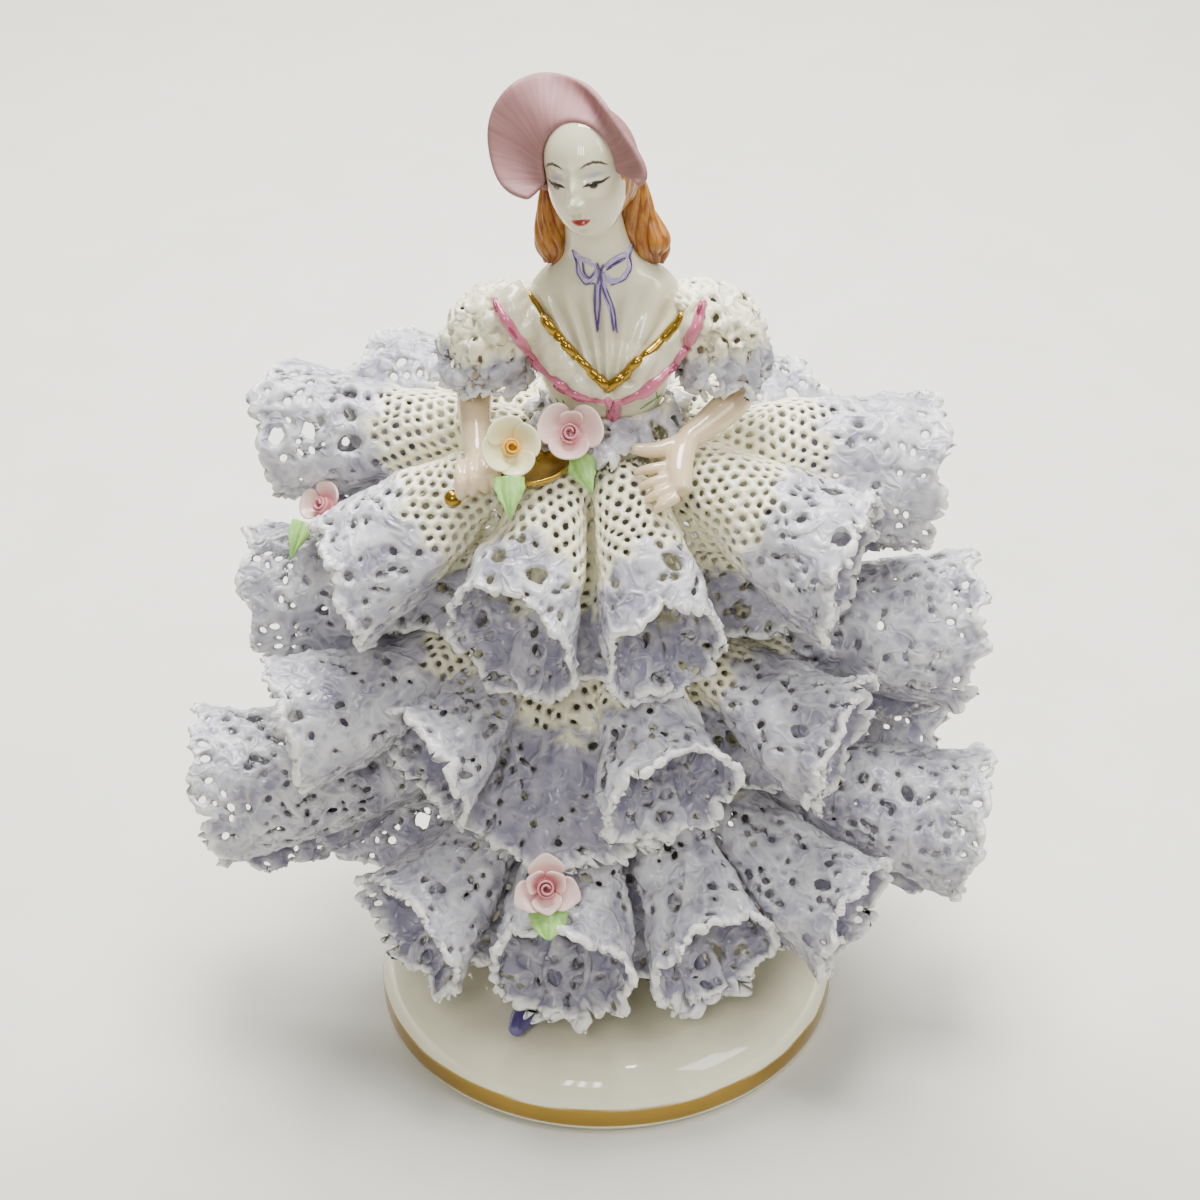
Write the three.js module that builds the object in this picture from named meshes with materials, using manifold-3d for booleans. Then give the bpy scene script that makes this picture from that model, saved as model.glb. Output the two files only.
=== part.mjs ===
// A porcelain lady in a bonnet, standing on a round base in a crinoline of three rolled lace flounces,
// with lace sleeves and modelled roses. Millimetres, +Z up, the lady looks along -Y.
// The origin is the centre of the base's underside.
import * as THREE from "three";
import { mergeVertices } from "three/addons/utils/BufferGeometryUtils.js";
import Module from "manifold-3d";

// Driving dimensions.
const figureHeight = 140;
const baseRadius = 32;
const baseHeight = 10;
const waistHeight = 92;
const waistRadius = 6.6;
const underskirtFlare = 0.145; // growth of the underskirt's radius for each millimetre below the waist
const laceThickness = 1.2;
const jointGap = 0.35; // left between pieces that touch
const finestDetail = 0.08; // edges shorter than this are closed up after a cut or join

const colours = {
  glaze: 0xf3f1ea,
  lavenderLace: 0xc9c6dc,
  creamLace: 0xefedd8,
  pinkPetal: 0xe9b9bd,
  yellowPetal: 0xeeeecb,
  leafGreen: 0xa5d07f,
  gilding: 0x9a7228,
};

const wasm = await Module();
wasm.setup();

const rad = THREE.MathUtils.degToRad;
const lerp = THREE.MathUtils.lerp;
const smooth = (x) => THREE.MathUtils.smoothstep(x, 0, 1);
const vec = (x, y, z) => new THREE.Vector3(x, y, z);

// A direction round the figure: 0 degrees is the front (-Y), 90 degrees is her left (+X).
const outward = (azimuth) => vec(Math.sin(rad(azimuth)), -Math.cos(rad(azimuth)), 0);
const sideways = (azimuth) => vec(Math.cos(rad(azimuth)), Math.sin(rad(azimuth)), 0);

// Turns rings of points into one closed skin. Every ring has the same number of points.
function skinOf(rings, closedLoop = false) {
  const points = rings.flat();
  const count = rings[0].length;
  const triangles = [];
  const pairs = closedLoop ? rings.length : rings.length - 1;
  for (let row = 0; row < pairs; row++) {
    const here = row * count;
    const next = ((row + 1) % rings.length) * count;
    for (let i = 0; i < count; i++) {
      const j = (i + 1) % count;
      triangles.push(here + i, here + j, next + j, here + i, next + j, next + i);
    }
  }
  if (!closedLoop) {
    for (const [start, flip] of [[0, true], [(rings.length - 1) * count, false]]) {
      const middle = points.length;
      const centre = vec(0, 0, 0);
      for (let i = 0; i < count; i++) centre.add(points[start + i]);
      points.push(centre.divideScalar(count));
      for (let i = 0; i < count; i++) {
        const j = (i + 1) % count;
        triangles.push(...(flip ? [middle, start + j, start + i] : [middle, start + i, start + j]));
      }
    }
  }
  let volume = 0;
  for (let i = 0; i < triangles.length; i += 3) {
    const [a, b, c] = [0, 1, 2].map((k) => points[triangles[i + k]]);
    volume += a.dot(b.clone().cross(c));
  }
  if (volume < 0) {
    for (let i = 0; i < triangles.length; i += 3) {
      [triangles[i + 1], triangles[i + 2]] = [triangles[i + 2], triangles[i + 1]];
    }
  }
  const geometry = new THREE.BufferGeometry();
  geometry.setAttribute(
    "position",
    new THREE.Float32BufferAttribute(points.flatMap((p) => [p.x, p.y, p.z]), 3),
  );
  geometry.setIndex(triangles);
  return geometry;
}

// A three.js geometry as a solid that can be joined and cut.
function solidOf(geometry) {
  const bare = geometry.clone();
  bare.deleteAttribute("normal");
  bare.deleteAttribute("uv");
  const merged = mergeVertices(bare, 1e-4);
  return new wasm.Manifold(
    new wasm.Mesh({
      numProp: 3,
      vertProperties: new Float32Array(merged.attributes.position.array),
      triVerts: new Uint32Array(merged.index.array),
    }),
  );
}

// A solid as one body again: a cut can leave a crumb beside it, which is dropped.
function geometryOf(solid) {
  const bodies = solid.asOriginal().simplify(finestDetail).decompose();
  const mesh = bodies.sort((a, b) => b.volume() - a.volume())[0].getMesh();
  const geometry = new THREE.BufferGeometry();
  geometry.setAttribute("position", new THREE.BufferAttribute(mesh.vertProperties, 3));
  geometry.setIndex(new THREE.BufferAttribute(mesh.triVerts, 1));
  return geometry;
}

const united = (solids) => solids.reduce((all, one) => all.add(one));
const joined = (geometries) => geometryOf(united(geometries.map(solidOf)));

// An oval ring across the direction `along`, with its first point towards `side`.
function ovalRing(centre, along, side, across, deep, count) {
  const first = side.clone().addScaledVector(along, -side.dot(along)).normalize();
  const second = along.clone().cross(first).normalize();
  return Array.from({ length: count }, (_, i) => {
    const turn = (2 * Math.PI * i) / count;
    return centre
      .clone()
      .addScaledVector(first, across * Math.cos(turn))
      .addScaledVector(second, deep * Math.sin(turn));
  });
}

// A limb, lock or stalk: oval rings along a smooth path. Each stop is [x, y, z, across, deep].
function limb(stops, { steps = 6, count = 8, side = vec(1, 0, 0), grow = 0 } = {}) {
  const path = new THREE.CatmullRomCurve3(stops.map(([x, y, z]) => vec(x, y, z)));
  const rings = [];
  for (let i = 0; i <= steps; i++) {
    const t = i / steps;
    const place = t * (stops.length - 1);
    const k = Math.min(Math.floor(place), stops.length - 2);
    const size = (column) => lerp(stops[k][column], stops[k + 1][column], place - k) + grow;
    const centre = path.getPoint(t);
    const along = path.getTangent(t);
    if (i === 0) centre.addScaledVector(along, -grow);
    if (i === steps) centre.addScaledVector(along, grow);
    rings.push(ovalRing(centre, along, side, size(3), size(4), count));
  }
  return skinOf(rings);
}

function ellipsoid([x, y, z], [rx, ry, rz], segments = 12) {
  const ball = new THREE.SphereGeometry(1, segments, Math.round(segments * 0.7));
  ball.rotateX(Math.PI / 2);
  ball.scale(rx, ry, rz);
  ball.translate(x, y, z);
  return ball;
}

// The base: a low drum with a rounded shoulder and a flat underside.
function baseGeometry() {
  const profile = [
    [0, 0],
    [baseRadius - 1.2, 0],
    [baseRadius, 0.9],
    [baseRadius, 4.4],
    [baseRadius - 0.6, 6.6],
    [baseRadius - 2.2, 8.5],
    [baseRadius - 5, 9.6],
    [baseRadius - 9, baseHeight],
    [0, baseHeight],
  ].map(([r, z]) => new THREE.Vector2(r, z));
  const drum = new THREE.LatheGeometry(profile, 32);
  drum.rotateX(Math.PI / 2); // the lathe's axis is Y
  return joined([drum]);
}

// The flounces. Each flute is a rolled tube of lace: [azimuth, reach, crest height, lip height, half width],
// where the crest and the lip are the highest and lowest points of its open end.
const flounces = {
  flounce_top: {
    seamHeight: 89,
    hang: 0.15,
    rollSteps: 7,
    rowsOut: 4,
    flutes: [
      [-30, 25.5, 80, 61.5, 8.8],
      [20, 25.5, 78, 61.5, 7.6],
      [70, 37, 85, 66.5, 10.2],
      [102, 46.5, 88.5, 68.5, 10],
      [133, 37, 87.5, 69.5, 9],
      [165, 29.5, 83, 66, 8],
      [197, 30, 83, 66, 8],
      [229, 39, 92.5, 73.5, 9.2],
      [250, 46.5, 92, 75, 9],
      [284, 38, 81.5, 65.5, 9.2],
    ],
  },
  flounce_middle: {
    seamHeight: 64.4,
    hang: 1.1,
    rollSteps: 7,
    rowsOut: 4,
    flutes: [
      [-56, 31.5, 58.5, 41.5, 9.8],
      [19, 29.5, 58.5, 41.5, 9.2],
      [64, 38, 60, 42.5, 10],
      [97, 52, 66, 45, 10],
      [129, 41, 64.5, 45.5, 9.4],
      [162, 34.5, 61, 44, 9.2],
      [196, 34.5, 61, 44, 9.2],
      [229, 41, 66, 47, 9.2],
      [257, 49, 70, 50.5, 9.4],
      [284, 46, 62, 44, 9.2],
    ],
  },
  flounce_bottom: {
    seamHeight: 44.4,
    hang: 1,
    rollSteps: 7,
    rowsOut: 4,
    flutes: [
      [-53, 36.5, 33.5, 16, 10.2],
      [-12, 32.5, 34, 14.5, 9.8],
      [29, 33, 33, 15, 9.2],
      [59, 42, 35, 17.5, 8.8],
      [85, 54, 40.6, 20.2, 9.8],
      [110, 50, 42.5, 24, 8.8],
      [139, 42, 38, 21, 9.2],
      [171, 37, 36, 18, 9.4],
      [204, 38, 36, 18, 9.4],
      [237, 46, 42, 23, 9.4],
      [270, 57, 46.5, 25, 10.2],
    ],
  },
};

const underskirtRadius = (z) => waistRadius + underskirtFlare * (waistHeight - z);

// The lace crosses a flute from one side of its roll, over the crest, to the other side. At the seam it is
// a flat arch, and further out it closes to a roll. Angles are in degrees from the crest.
const rollAngle = 167;
const archAngle = 80;
const openBy = 0.62; // share of the way out at which the roll is full

function laceRow(flounce, t) {
  const { seamHeight, hang, rollSteps, flutes } = flounce;
  const seamRadius = underskirtRadius(seamHeight) + jointGap + laceThickness / 2 + 0.25;
  const row = [];
  const bend = (a, b, c) => (1 - t) ** 2 * a + 2 * t * (1 - t) * b + t ** 2 * c;
  flutes.forEach(([azimuth, reach, crest, lip, halfWidth], k) => {
    const after = flutes[(k + 1) % flutes.length];
    const before = flutes[(k + flutes.length - 1) % flutes.length];
    const gapAfter = (after[0] - azimuth + 360) % 360;
    const gapBefore = (azimuth - before[0] + 360) % 360;
    const seamWidth = 0.42 * rad(Math.min(gapAfter, gapBefore)) * seamRadius;
    const control = seamRadius + 0.42 * (reach - seamRadius);
    const crestR = bend(seamRadius + 0.8, control + 1, reach);
    const crestZ = bend(seamHeight + 0.8, lerp(seamHeight + 1.5, crest, hang), crest);
    const floorR = bend(seamRadius, seamRadius + 0.3 * (reach - seamRadius), reach - 4);
    const floorZ = bend(seamHeight - 0.8, lerp(seamHeight, lip, 0.62), lip);
    const width = lerp(seamWidth, halfWidth, Math.pow(t, 0.8));
    for (let i = 0; i <= rollSteps; i++) {
      const share = (2 * i) / rollSteps - 1;
      const angle = rad(share * lerp(archAngle, rollAngle, smooth(t / openBy)));
      const high = Math.cos(angle);
      const point = outward(azimuth).multiplyScalar((crestR * (1 + high) + floorR * (1 - high)) / 2);
      point.addScaledVector(sideways(azimuth), width * Math.sin(angle));
      point.z = (crestZ * (1 + high) + floorZ * (1 - high)) / 2;
      row.push(point);
    }
    const valleyAzimuth = azimuth + gapAfter / 2;
    const depth = lerp(0.66, 0.9, smooth((gapAfter - 34) / 40)); // a wide valley is a shallow one
    const inner = Math.max((Math.min(reach, after[1]) - 4) * depth, seamRadius + 4);
    const valley = outward(valleyAzimuth).multiplyScalar(lerp(seamRadius, inner, t));
    valley.z = lerp(seamHeight - 1.2, (lip + after[3]) / 2 + 0.8, t);
    row.push(valley);
  });
  return row;
}

// A lace sheet of even thickness round the figure, from its seam to its hem.
function flounceGeometry(flounce) {
  const { rowsOut } = flounce;
  const rows = Array.from({ length: rowsOut }, (_, j) => laceRow(flounce, j / (rowsOut - 1)));
  const count = rows[0].length;
  const normalAt = (j, i) => {
    const along = rows[j][(i + 1) % count].clone().sub(rows[j][(i + count - 1) % count]);
    const out = rows[Math.min(j + 1, rowsOut - 1)][i].clone().sub(rows[Math.max(j - 1, 0)][i]);
    return along.cross(out).normalize();
  };
  const sheet = (sign) =>
    rows.map((row, j) =>
      row.map((p, i) => p.clone().addScaledVector(normalAt(j, i), (sign * laceThickness) / 2)),
    );
  return skinOf([...sheet(1), ...sheet(-1).reverse()], true);
}

// The cast figure: underskirt, bodice, neck, head, bonnet, hair, arms and a shoe, fired as one.
// Each ring of the body is [height, centre x, centre y, half width, half depth].
const bodyRings = [
  [baseHeight + jointGap, 0, 0, 18.5, 18.5],
  [waistHeight - 6, 0.4, 0, 7.4, 7],
  [waistHeight, 1.1, 0.2, 6.1, 4.7],
  [waistHeight + 4, 1.3, -0.2, 7.2, 5.4],
  [waistHeight + 8, 1.3, -0.6, 8.6, 6.4],
  [waistHeight + 12, 1.3, -0.8, 9.7, 7.2],
  [waistHeight + 15.5, 1.3, -0.6, 10.5, 6.6],
  [waistHeight + 18.3, 1.3, 0, 10.3, 5.3],
  [waistHeight + 20.6, 1.2, 0.2, 7.6, 4.4],
  [waistHeight + 22.4, 1, 0.1, 4.6, 3.9],
  [waistHeight + 25, 0.7, -0.2, 3.4, 3.5],
  [waistHeight + 34, -0.5, -1.3, 3.2, 3.3],
];

function bodySolid(grow = 0) {
  const rings = bodyRings.map(([z, x, y, across, deep]) =>
    ovalRing(vec(x, y, z), vec(0, 0, 1), vec(1, 0, 0), across + grow, deep + grow, 16),
  );
  return solidOf(skinOf(rings));
}

// The arms from shoulder to wrist. Her left arm is on +X.
const armStops = {
  left: [
    [11, 0.3, 109, 2.4, 2.6],
    [15.4, 0.6, 103.5, 2.7, 2.7],
    [18, 0.2, 97.2, 2.4, 2.3],
    [15.6, -3.2, 95, 2.2, 2.1],
    [11, -6.9, 93.6, 1.5, 1.6],
  ],
  right: [
    [-8.6, 0.3, 109, 2.4, 2.6],
    [-12.8, 0.8, 103.5, 2.7, 2.7],
    [-15.2, 1.6, 97.8, 2.4, 2.3],
    [-15.4, -2.6, 94.6, 2.1, 2.1],
    [-15, -7.4, 92.2, 1.6, 1.7],
  ],
};

const armSolid = (name, grow = 0) =>
  solidOf(limb(armStops[name], { steps: 6, count: 7, grow, side: vec(0.6, -0.8, 0) }));

// Her open left hand on her lap: a palm, four fingers side by side and the thumb.
function openHand() {
  const solids = [
    limb(
      [
        [11.4, -6.6, 93.7, 1.5, 1.5],
        [9, -8.4, 92.7, 2, 1.2],
        [7, -10, 91.6, 2.6, 1.1],
      ],
      { steps: 3, side: vec(0.5, 0.7, 0.3) },
    ),
    limb(
      [
        [8.6, -8.1, 92.8, 0.9, 0.8],
        [6, -8.7, 92.5, 0.75, 0.7],
        [3.9, -9.2, 91.8, 0.5, 0.5],
      ],
      { steps: 3, count: 6, side: vec(0, 1, 0) },
    ),
  ];
  const fingers = 4;
  for (let i = 0; i < fingers; i++) {
    const apart = i * 1.25;
    const long = [5.6, 6.6, 6.4, 5.2][i];
    const root = vec(5.4 + apart, -9 - apart * 0.55, 91.7);
    const tip = root.clone().add(vec(-0.42 * long + apart * 0.45, -0.75 * long, -0.42 * long));
    const middle = root.clone().lerp(tip, 0.5).add(vec(0, 0, 0.3));
    const stops = [[root, 0.78], [middle, 0.72], [tip, 0.5]];
    solids.push(
      limb(stops.map(([p, r]) => [p.x, p.y, p.z, r, r]), { steps: 2, count: 5 }),
    );
  }
  return united(solids.map(solidOf));
}

// Her closed right hand, with the four fingers curled side by side round the handle.
function fist() {
  const solids = [ellipsoid([-14.8, -9.6, 91.3], [2.4, 2.6, 2.2])];
  const fingers = 4;
  for (let i = 0; i < fingers; i++) {
    const across = i / (fingers - 1) - 0.5;
    const middle = [-14.9 + across * 3.9, -10.9 + across * 0.6, 91 + across * 0.9];
    solids.push(ellipsoid(middle, [0.9, 2.1, 2.1], 6));
  }
  return united(solids.map(solidOf));
}

// The head in its own frame, facing -Y, and where it sits: turned to her right, bowed and leaning.
const headPlace = new THREE.Matrix4()
  .makeTranslation(-1.1, -2.2, figureHeight - 11.4)
  .multiply(new THREE.Matrix4().makeRotationZ(rad(-20)))
  .multiply(new THREE.Matrix4().makeRotationX(rad(15)))
  .multiply(new THREE.Matrix4().makeRotationY(rad(-10)));

function headSolid() {
  const skull = ellipsoid([0, 0.4, 0.6], [5.9, 6.8, 6.8]);
  const jaw = ellipsoid([0, -2.4, -3.6], [4.2, 3.9, 4.9], 8);
  const nose = limb(
    [
      [0, -6.3, 1.2, 0.5, 0.5],
      [0, -7.1, -1.6, 0.9, 0.8],
      [0, -6.1, -2.2, 0.7, 0.5],
    ],
    { steps: 3, count: 6 },
  );
  return united([skull, jaw, nose].map((part) => solidOf(part.applyMatrix4(headPlace))));
}

// The bonnet: a round crown over the back of the head and a wide brim that stands round the face,
// cut away under the chin. It is pushed back further than the head is bowed.
const bonnetPlace = new THREE.Matrix4()
  .makeTranslation(-1.6, -2.4, figureHeight - 12.3)
  .multiply(new THREE.Matrix4().makeRotationZ(rad(-26)))
  .multiply(new THREE.Matrix4().makeRotationX(rad(-20)))
  .multiply(new THREE.Matrix4().makeRotationY(rad(-12)));

function bonnetSolid() {
  const profile = [
    [0, 0],
    [6, -2.6],
    [8.5, -4.9],
    [10.9, -6],
    [11.3, -5.2],
    [9.4, -3.9],
    [7.3, -1],
    [6.9, 4],
    [4, 7.2],
    [0, 8],
  ].map(([r, y]) => new THREE.Vector2(r, y));
  const bonnet = new THREE.LatheGeometry(profile, 18);
  const throat = new THREE.BoxGeometry(40, 40, 20).translate(0, 0, -13.5);
  return solidOf(bonnet).subtract(solidOf(throat)).transform(bonnetPlace.toArray());
}

function hairSolid() {
  const side = vec(1, 0.2, 0);
  const right = [
    [-5.6, 0.6, 126, 1.6, 1.6],
    [-6.3, 0.2, 121.5, 2, 1.7],
    [-6.1, -0.6, 117, 2.3, 1.7],
    [-5.9, -1.2, 113.6, 2, 1.4],
  ];
  const left = [
    [4.6, 0.2, 127, 1.8, 1.6],
    [6, 0.2, 122.5, 2.3, 1.8],
    [7.4, -0.4, 118, 2.8, 1.9],
    [8.5, -0.8, 113.2, 2.3, 1.6],
  ];
  return solidOf(limb(right, { steps: 4, side })).add(solidOf(limb(left, { steps: 4, side })));
}

// The toe of one shoe shows on the base under the front hem.
const shoeSolid = () =>
  solidOf(
    limb(
      [
        [-7.4, -13, 12.3, 2, 1.6],
        [-10.8, -20, 12, 2.1, 1.6],
        [-12.6, -23.9, 11.5, 1.1, 0.9],
      ],
      { steps: 4, side: vec(1, -0.5, 0) },
    ),
  );

// A shallow gilt basket on her lap, with a straight handle that runs through her fist to a small knob.
function basketSolid(grow = 0) {
  const profile = [
    [0, -0.5 - grow],
    [2.8 + grow, -0.5 - grow],
    [4.5 + grow, 0.7],
    [4.5 + grow, 1.2 + grow],
    [4, 1.2 + grow],
    [2.6, 0.3 + grow],
    [0, 0.3 + grow],
  ].map(([r, z]) => new THREE.Vector2(r, z));
  const dish = new THREE.LatheGeometry(profile, 12).rotateX(Math.PI / 2).rotateY(rad(-8));
  dish.translate(-7.7, -9.6, 90.9);
  const handle = limb(
    [
      [-10.6, -10, 90.9, 0.7, 0.7],
      [-17.6, -10.9, 89.3, 0.7, 0.7],
    ],
    { steps: 1, grow, side: vec(0, 1, 0) },
  );
  const knob = ellipsoid([-18.1, -11, 89.2], [1.2 + grow, 1.1 + grow, 1.1 + grow], 6);
  return united([dish, handle, knob].map(solidOf));
}

function figureGeometry() {
  const parts = [
    bodySolid(),
    armSolid("left"),
    armSolid("right"),
    openHand(),
    fist(),
    headSolid(),
    bonnetSolid(),
    hairSolid(),
    shoeSolid(),
  ];
  return geometryOf(united(parts).subtract(basketSolid(jointGap)));
}

// A crumpled lace puff round an upper arm, from the shoulder seam to its lower edge.
function sleeveGeometry(name, stops) {
  const puff = solidOf(limb(stops, { steps: 5, count: 10, side: vec(0, 1, 0) }));
  return geometryOf(puff.subtract(armSolid(name, jointGap)).subtract(bodySolid(jointGap)));
}

const sleeveStops = {
  left: [
    [12.6, 0.5, 110.6, 2.6, 2.4],
    [14.4, 0.5, 107.6, 4.6, 4.4],
    [15.4, 0.4, 103.6, 5.2, 4.8],
    [15.9, 0.2, 99.8, 5.2, 4.7],
    [16.4, 0, 97.2, 4.4, 4.2],
  ],
  right: [
    [-10.2, 0.5, 110.6, 2.6, 2.4],
    [-12, 0.5, 107.6, 4.6, 4.6],
    [-13.2, 0.6, 103.6, 5.2, 5.1],
    [-13.7, 0.8, 99.8, 5.2, 4.9],
    [-14.1, 0.9, 97.2, 4.4, 4.3],
  ],
};

// A short scalloped frill of lace round the waist, held up where it passes over the basket.
// Each stop is [azimuth, reach, hem height].
const frill = {
  middle: [1.2, -0.1],
  top: { height: 96.4, across: 8.3, deep: 6.6 },
  lobes: 8,
  lobeDepth: 0.5,
  count: 48,
  stops: [
    [0, 7.6, 93],
    [40, 8.6, 92.4],
    [75, 9.8, 91.9],
    [180, 9.2, 91.8],
    [255, 9.8, 91.9],
    [290, 8.2, 93.2],
    [330, 7.2, 93.6],
    [360, 7.6, 93],
  ],
};

function waistFrillGeometry() {
  const { middle, top, lobes, lobeDepth, count, stops } = frill;
  const azimuths = Array.from({ length: count }, (_, i) => (360 * i) / count);
  const hemAt = (azimuth) => {
    const k = stops.findIndex((stop) => stop[0] > azimuth);
    const [before, after] = [stops[k - 1], stops[k]];
    const share = (azimuth - before[0]) / (after[0] - before[0]);
    const lobe = lobeDepth * Math.cos(lobes * rad(azimuth));
    return [lerp(before[1], after[1], share) + lobe, lerp(before[2], after[2], share) + lobe / 2];
  };
  const ringAt = (out, inset) =>
    azimuths.map((azimuth) => {
      const [reach, height] = hemAt(azimuth);
      const across = lerp(top.across, reach, out) - inset;
      const deep = lerp(top.deep, reach, out) - inset;
      const way = outward(azimuth);
      return vec(middle[0] + way.x * across, middle[1] + way.y * deep, lerp(top.height, height, out));
    });
  const outer = [ringAt(0, 0), ringAt(0.5, -0.3), ringAt(1, 0)];
  const inner = [ringAt(1, 0.9), ringAt(0.5, 0.5), ringAt(0, 0.5)];
  return skinOf([...outer, ...inner], true);
}

// Roses and leaves. `facing` turns a bloom that opens along +Z: degrees about X, then about Z.
function roseGeometry([x, y, z], radius, [tip, turn]) {
  const profile = [
    [0, -0.42],
    [0.45, -0.4],
    [0.82, -0.05],
    [1, 0.28],
    [0.9, 0.3],
    [0.6, 0.1],
    [0.4, 0.34],
    [0, 0.4],
  ].map(([r, h]) => new THREE.Vector2(r * radius, h * radius));
  const bloom = new THREE.LatheGeometry(profile, 10).rotateX(Math.PI / 2);
  const places = bloom.attributes.position;
  const petals = 5;
  for (let i = 0; i < places.count; i++) {
    const round = Math.atan2(places.getY(i), places.getX(i));
    const out = Math.hypot(places.getX(i), places.getY(i)) / radius;
    const lobe = 1 + 0.1 * out * Math.cos(petals * round);
    places.setXYZ(i, places.getX(i) * lobe, places.getY(i) * lobe, places.getZ(i) * (1 + 0.2 * (lobe - 1)));
  }
  bloom.rotateX(rad(tip)).rotateZ(rad(turn)).translate(x, y, z);
  return joined([bloom]);
}

function leafGeometry(start, end, halfWidth, facing) {
  const along = vec(...end).sub(vec(...start));
  const across = along.clone().normalize().cross(vec(...facing)).normalize();
  const rings = [0, 0.2, 0.45, 0.75, 1].map((t) => {
    const centre = vec(...start).addScaledVector(along, t);
    const wide = halfWidth * Math.sin(Math.PI * Math.min(0.94, 0.16 + 0.8 * t));
    return ovalRing(centre, along.clone().normalize(), across, wide, 0.4, 6);
  });
  return skinOf(rings);
}

const roses = {
  rose_yellow: { at: [-10.6, -11.4, 95.6], radius: 3.7, facing: [57, 8], colour: colours.yellowPetal },
  rose_pink: { at: [-3.3, -9.6, 96.4], radius: 3.6, facing: [52, -6], colour: colours.pinkPetal },
  rose_front: { at: [-7.6, -31.8, 43.4], radius: 3.9, facing: [62, 6], colour: colours.pinkPetal },
  rose_side: { at: [-36.6, 3.2, 80.2], radius: 3.2, facing: [50, -40], colour: colours.pinkPetal },
};

const leaves = {
  leaf_yellow: { from: [-10.9, -14.2, 92.6], to: [-10.8, -16.2, 88.6], halfWidth: 2, facing: [0, -0.8, 0.6] },
  leaf_pink: { from: [-2.2, -10, 92.9], to: [-0.9, -12.2, 89.7], halfWidth: 1.9, facing: [0, -0.8, 0.6] },
  leaf_front: { from: [-8.2, -31.6, 40], to: [-8.6, -33.4, 35.6], halfWidth: 1.9, facing: [0, -0.9, 0.4] },
  leaf_side: { from: [-39.6, 1.4, 78.6], to: [-41.2, -0.9, 74.4], halfWidth: 1.5, facing: [-0.6, -0.6, 0.5] },
};

function piece(name, geometry, colour, roughness, metalness = 0) {
  const material = new THREE.MeshStandardMaterial({ color: colour, roughness, metalness });
  const mesh = new THREE.Mesh(geometry, material);
  mesh.name = name;
  return mesh;
}

const lady = new THREE.Group();
lady.add(piece("base", baseGeometry(), colours.glaze, 0.15));
lady.add(piece("figure", figureGeometry(), colours.glaze, 0.15));
for (const [name, flounce] of Object.entries(flounces)) {
  lady.add(piece(name, flounceGeometry(flounce), colours.lavenderLace, 0.35));
}
lady.add(piece("waist_frill", waistFrillGeometry(), colours.lavenderLace, 0.35));
for (const [name, stops] of Object.entries(sleeveStops)) {
  lady.add(piece(`sleeve_${name}`, sleeveGeometry(name, stops), colours.creamLace, 0.35));
}
lady.add(piece("basket", geometryOf(basketSolid()), colours.gilding, 0.3, 1));
for (const [name, { at, radius, facing, colour }] of Object.entries(roses)) {
  lady.add(piece(name, roseGeometry(at, radius, facing), colour, 0.3));
}
for (const [name, { from, to, halfWidth, facing }] of Object.entries(leaves)) {
  lady.add(piece(name, leafGeometry(from, to, halfWidth, facing), colours.leafGreen, 0.3));
}

export default lady;
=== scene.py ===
# A porcelain lady in a lace crinoline. Lengths are in millimetres here and become metres in each mesh.
import math

import bmesh
import bpy
import numpy as np
from mathutils import Matrix, Vector
from mathutils.bvhtree import BVHTree
from mathutils.geometry import delaunay_2d_cdt
from mathutils.kdtree import KDTree


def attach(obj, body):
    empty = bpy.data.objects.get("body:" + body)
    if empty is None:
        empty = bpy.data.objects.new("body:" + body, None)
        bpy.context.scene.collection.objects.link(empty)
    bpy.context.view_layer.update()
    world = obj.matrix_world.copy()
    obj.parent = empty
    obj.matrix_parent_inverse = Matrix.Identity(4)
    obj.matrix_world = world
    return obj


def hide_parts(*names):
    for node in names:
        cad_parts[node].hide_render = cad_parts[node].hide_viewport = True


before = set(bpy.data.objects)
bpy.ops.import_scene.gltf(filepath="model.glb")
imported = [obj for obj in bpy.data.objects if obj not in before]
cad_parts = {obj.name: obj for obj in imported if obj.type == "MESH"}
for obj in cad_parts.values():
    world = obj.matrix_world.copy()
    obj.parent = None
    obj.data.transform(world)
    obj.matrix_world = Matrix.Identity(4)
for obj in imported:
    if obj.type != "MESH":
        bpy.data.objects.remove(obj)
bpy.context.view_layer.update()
print("frame loaded")

mm = 0.001
scene = bpy.context.scene


def outward(azimuth):
    a = np.radians(azimuth)
    return np.stack([np.sin(a), -np.cos(a), 0 * a], -1)


def sideways(azimuth):
    a = np.radians(azimuth)
    return np.stack([np.cos(a), np.sin(a), 0 * a], -1)


def smooth(x):
    x = np.clip(x, 0, 1)
    return x * x * (3 - 2 * x)


def unit(v):
    return v / np.maximum(np.linalg.norm(v, axis=-1, keepdims=True), 1e-9)


def arcLength(points):
    return np.concatenate([[0], np.cumsum(np.linalg.norm(np.diff(points, axis=0), axis=1))])


def waves(points, size, seed, count=7):
    # a slow random swell from a few sine waves, about -1 to 1
    draw = np.random.default_rng(seed)
    total = np.zeros(points.shape[:-1])
    for k in range(count):
        way = unit(draw.normal(size=points.shape[-1]))
        total += np.sin(points @ way * (2 * np.pi / (size * draw.uniform(0.7, 1.6))) + draw.uniform(0, 6.3))
    return total / math.sqrt(count)


def pieceFrom(name, verts, faces, material, attributes=None, replaces=()):
    mesh = bpy.data.meshes.new(name)
    mesh.from_pydata((np.asarray(verts) * mm).tolist(), [], [list(map(int, f)) for f in faces])
    for key, values in (attributes or {}).items():
        layer = mesh.attributes.new(key, "FLOAT", "POINT")
        layer.data.foreach_set("value", np.asarray(values, np.float32))
    mesh.shade_smooth()
    mesh.materials.append(material)
    piece = bpy.data.objects.new(name, mesh)
    scene.collection.objects.link(piece)
    return settle(piece, replaces)


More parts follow.
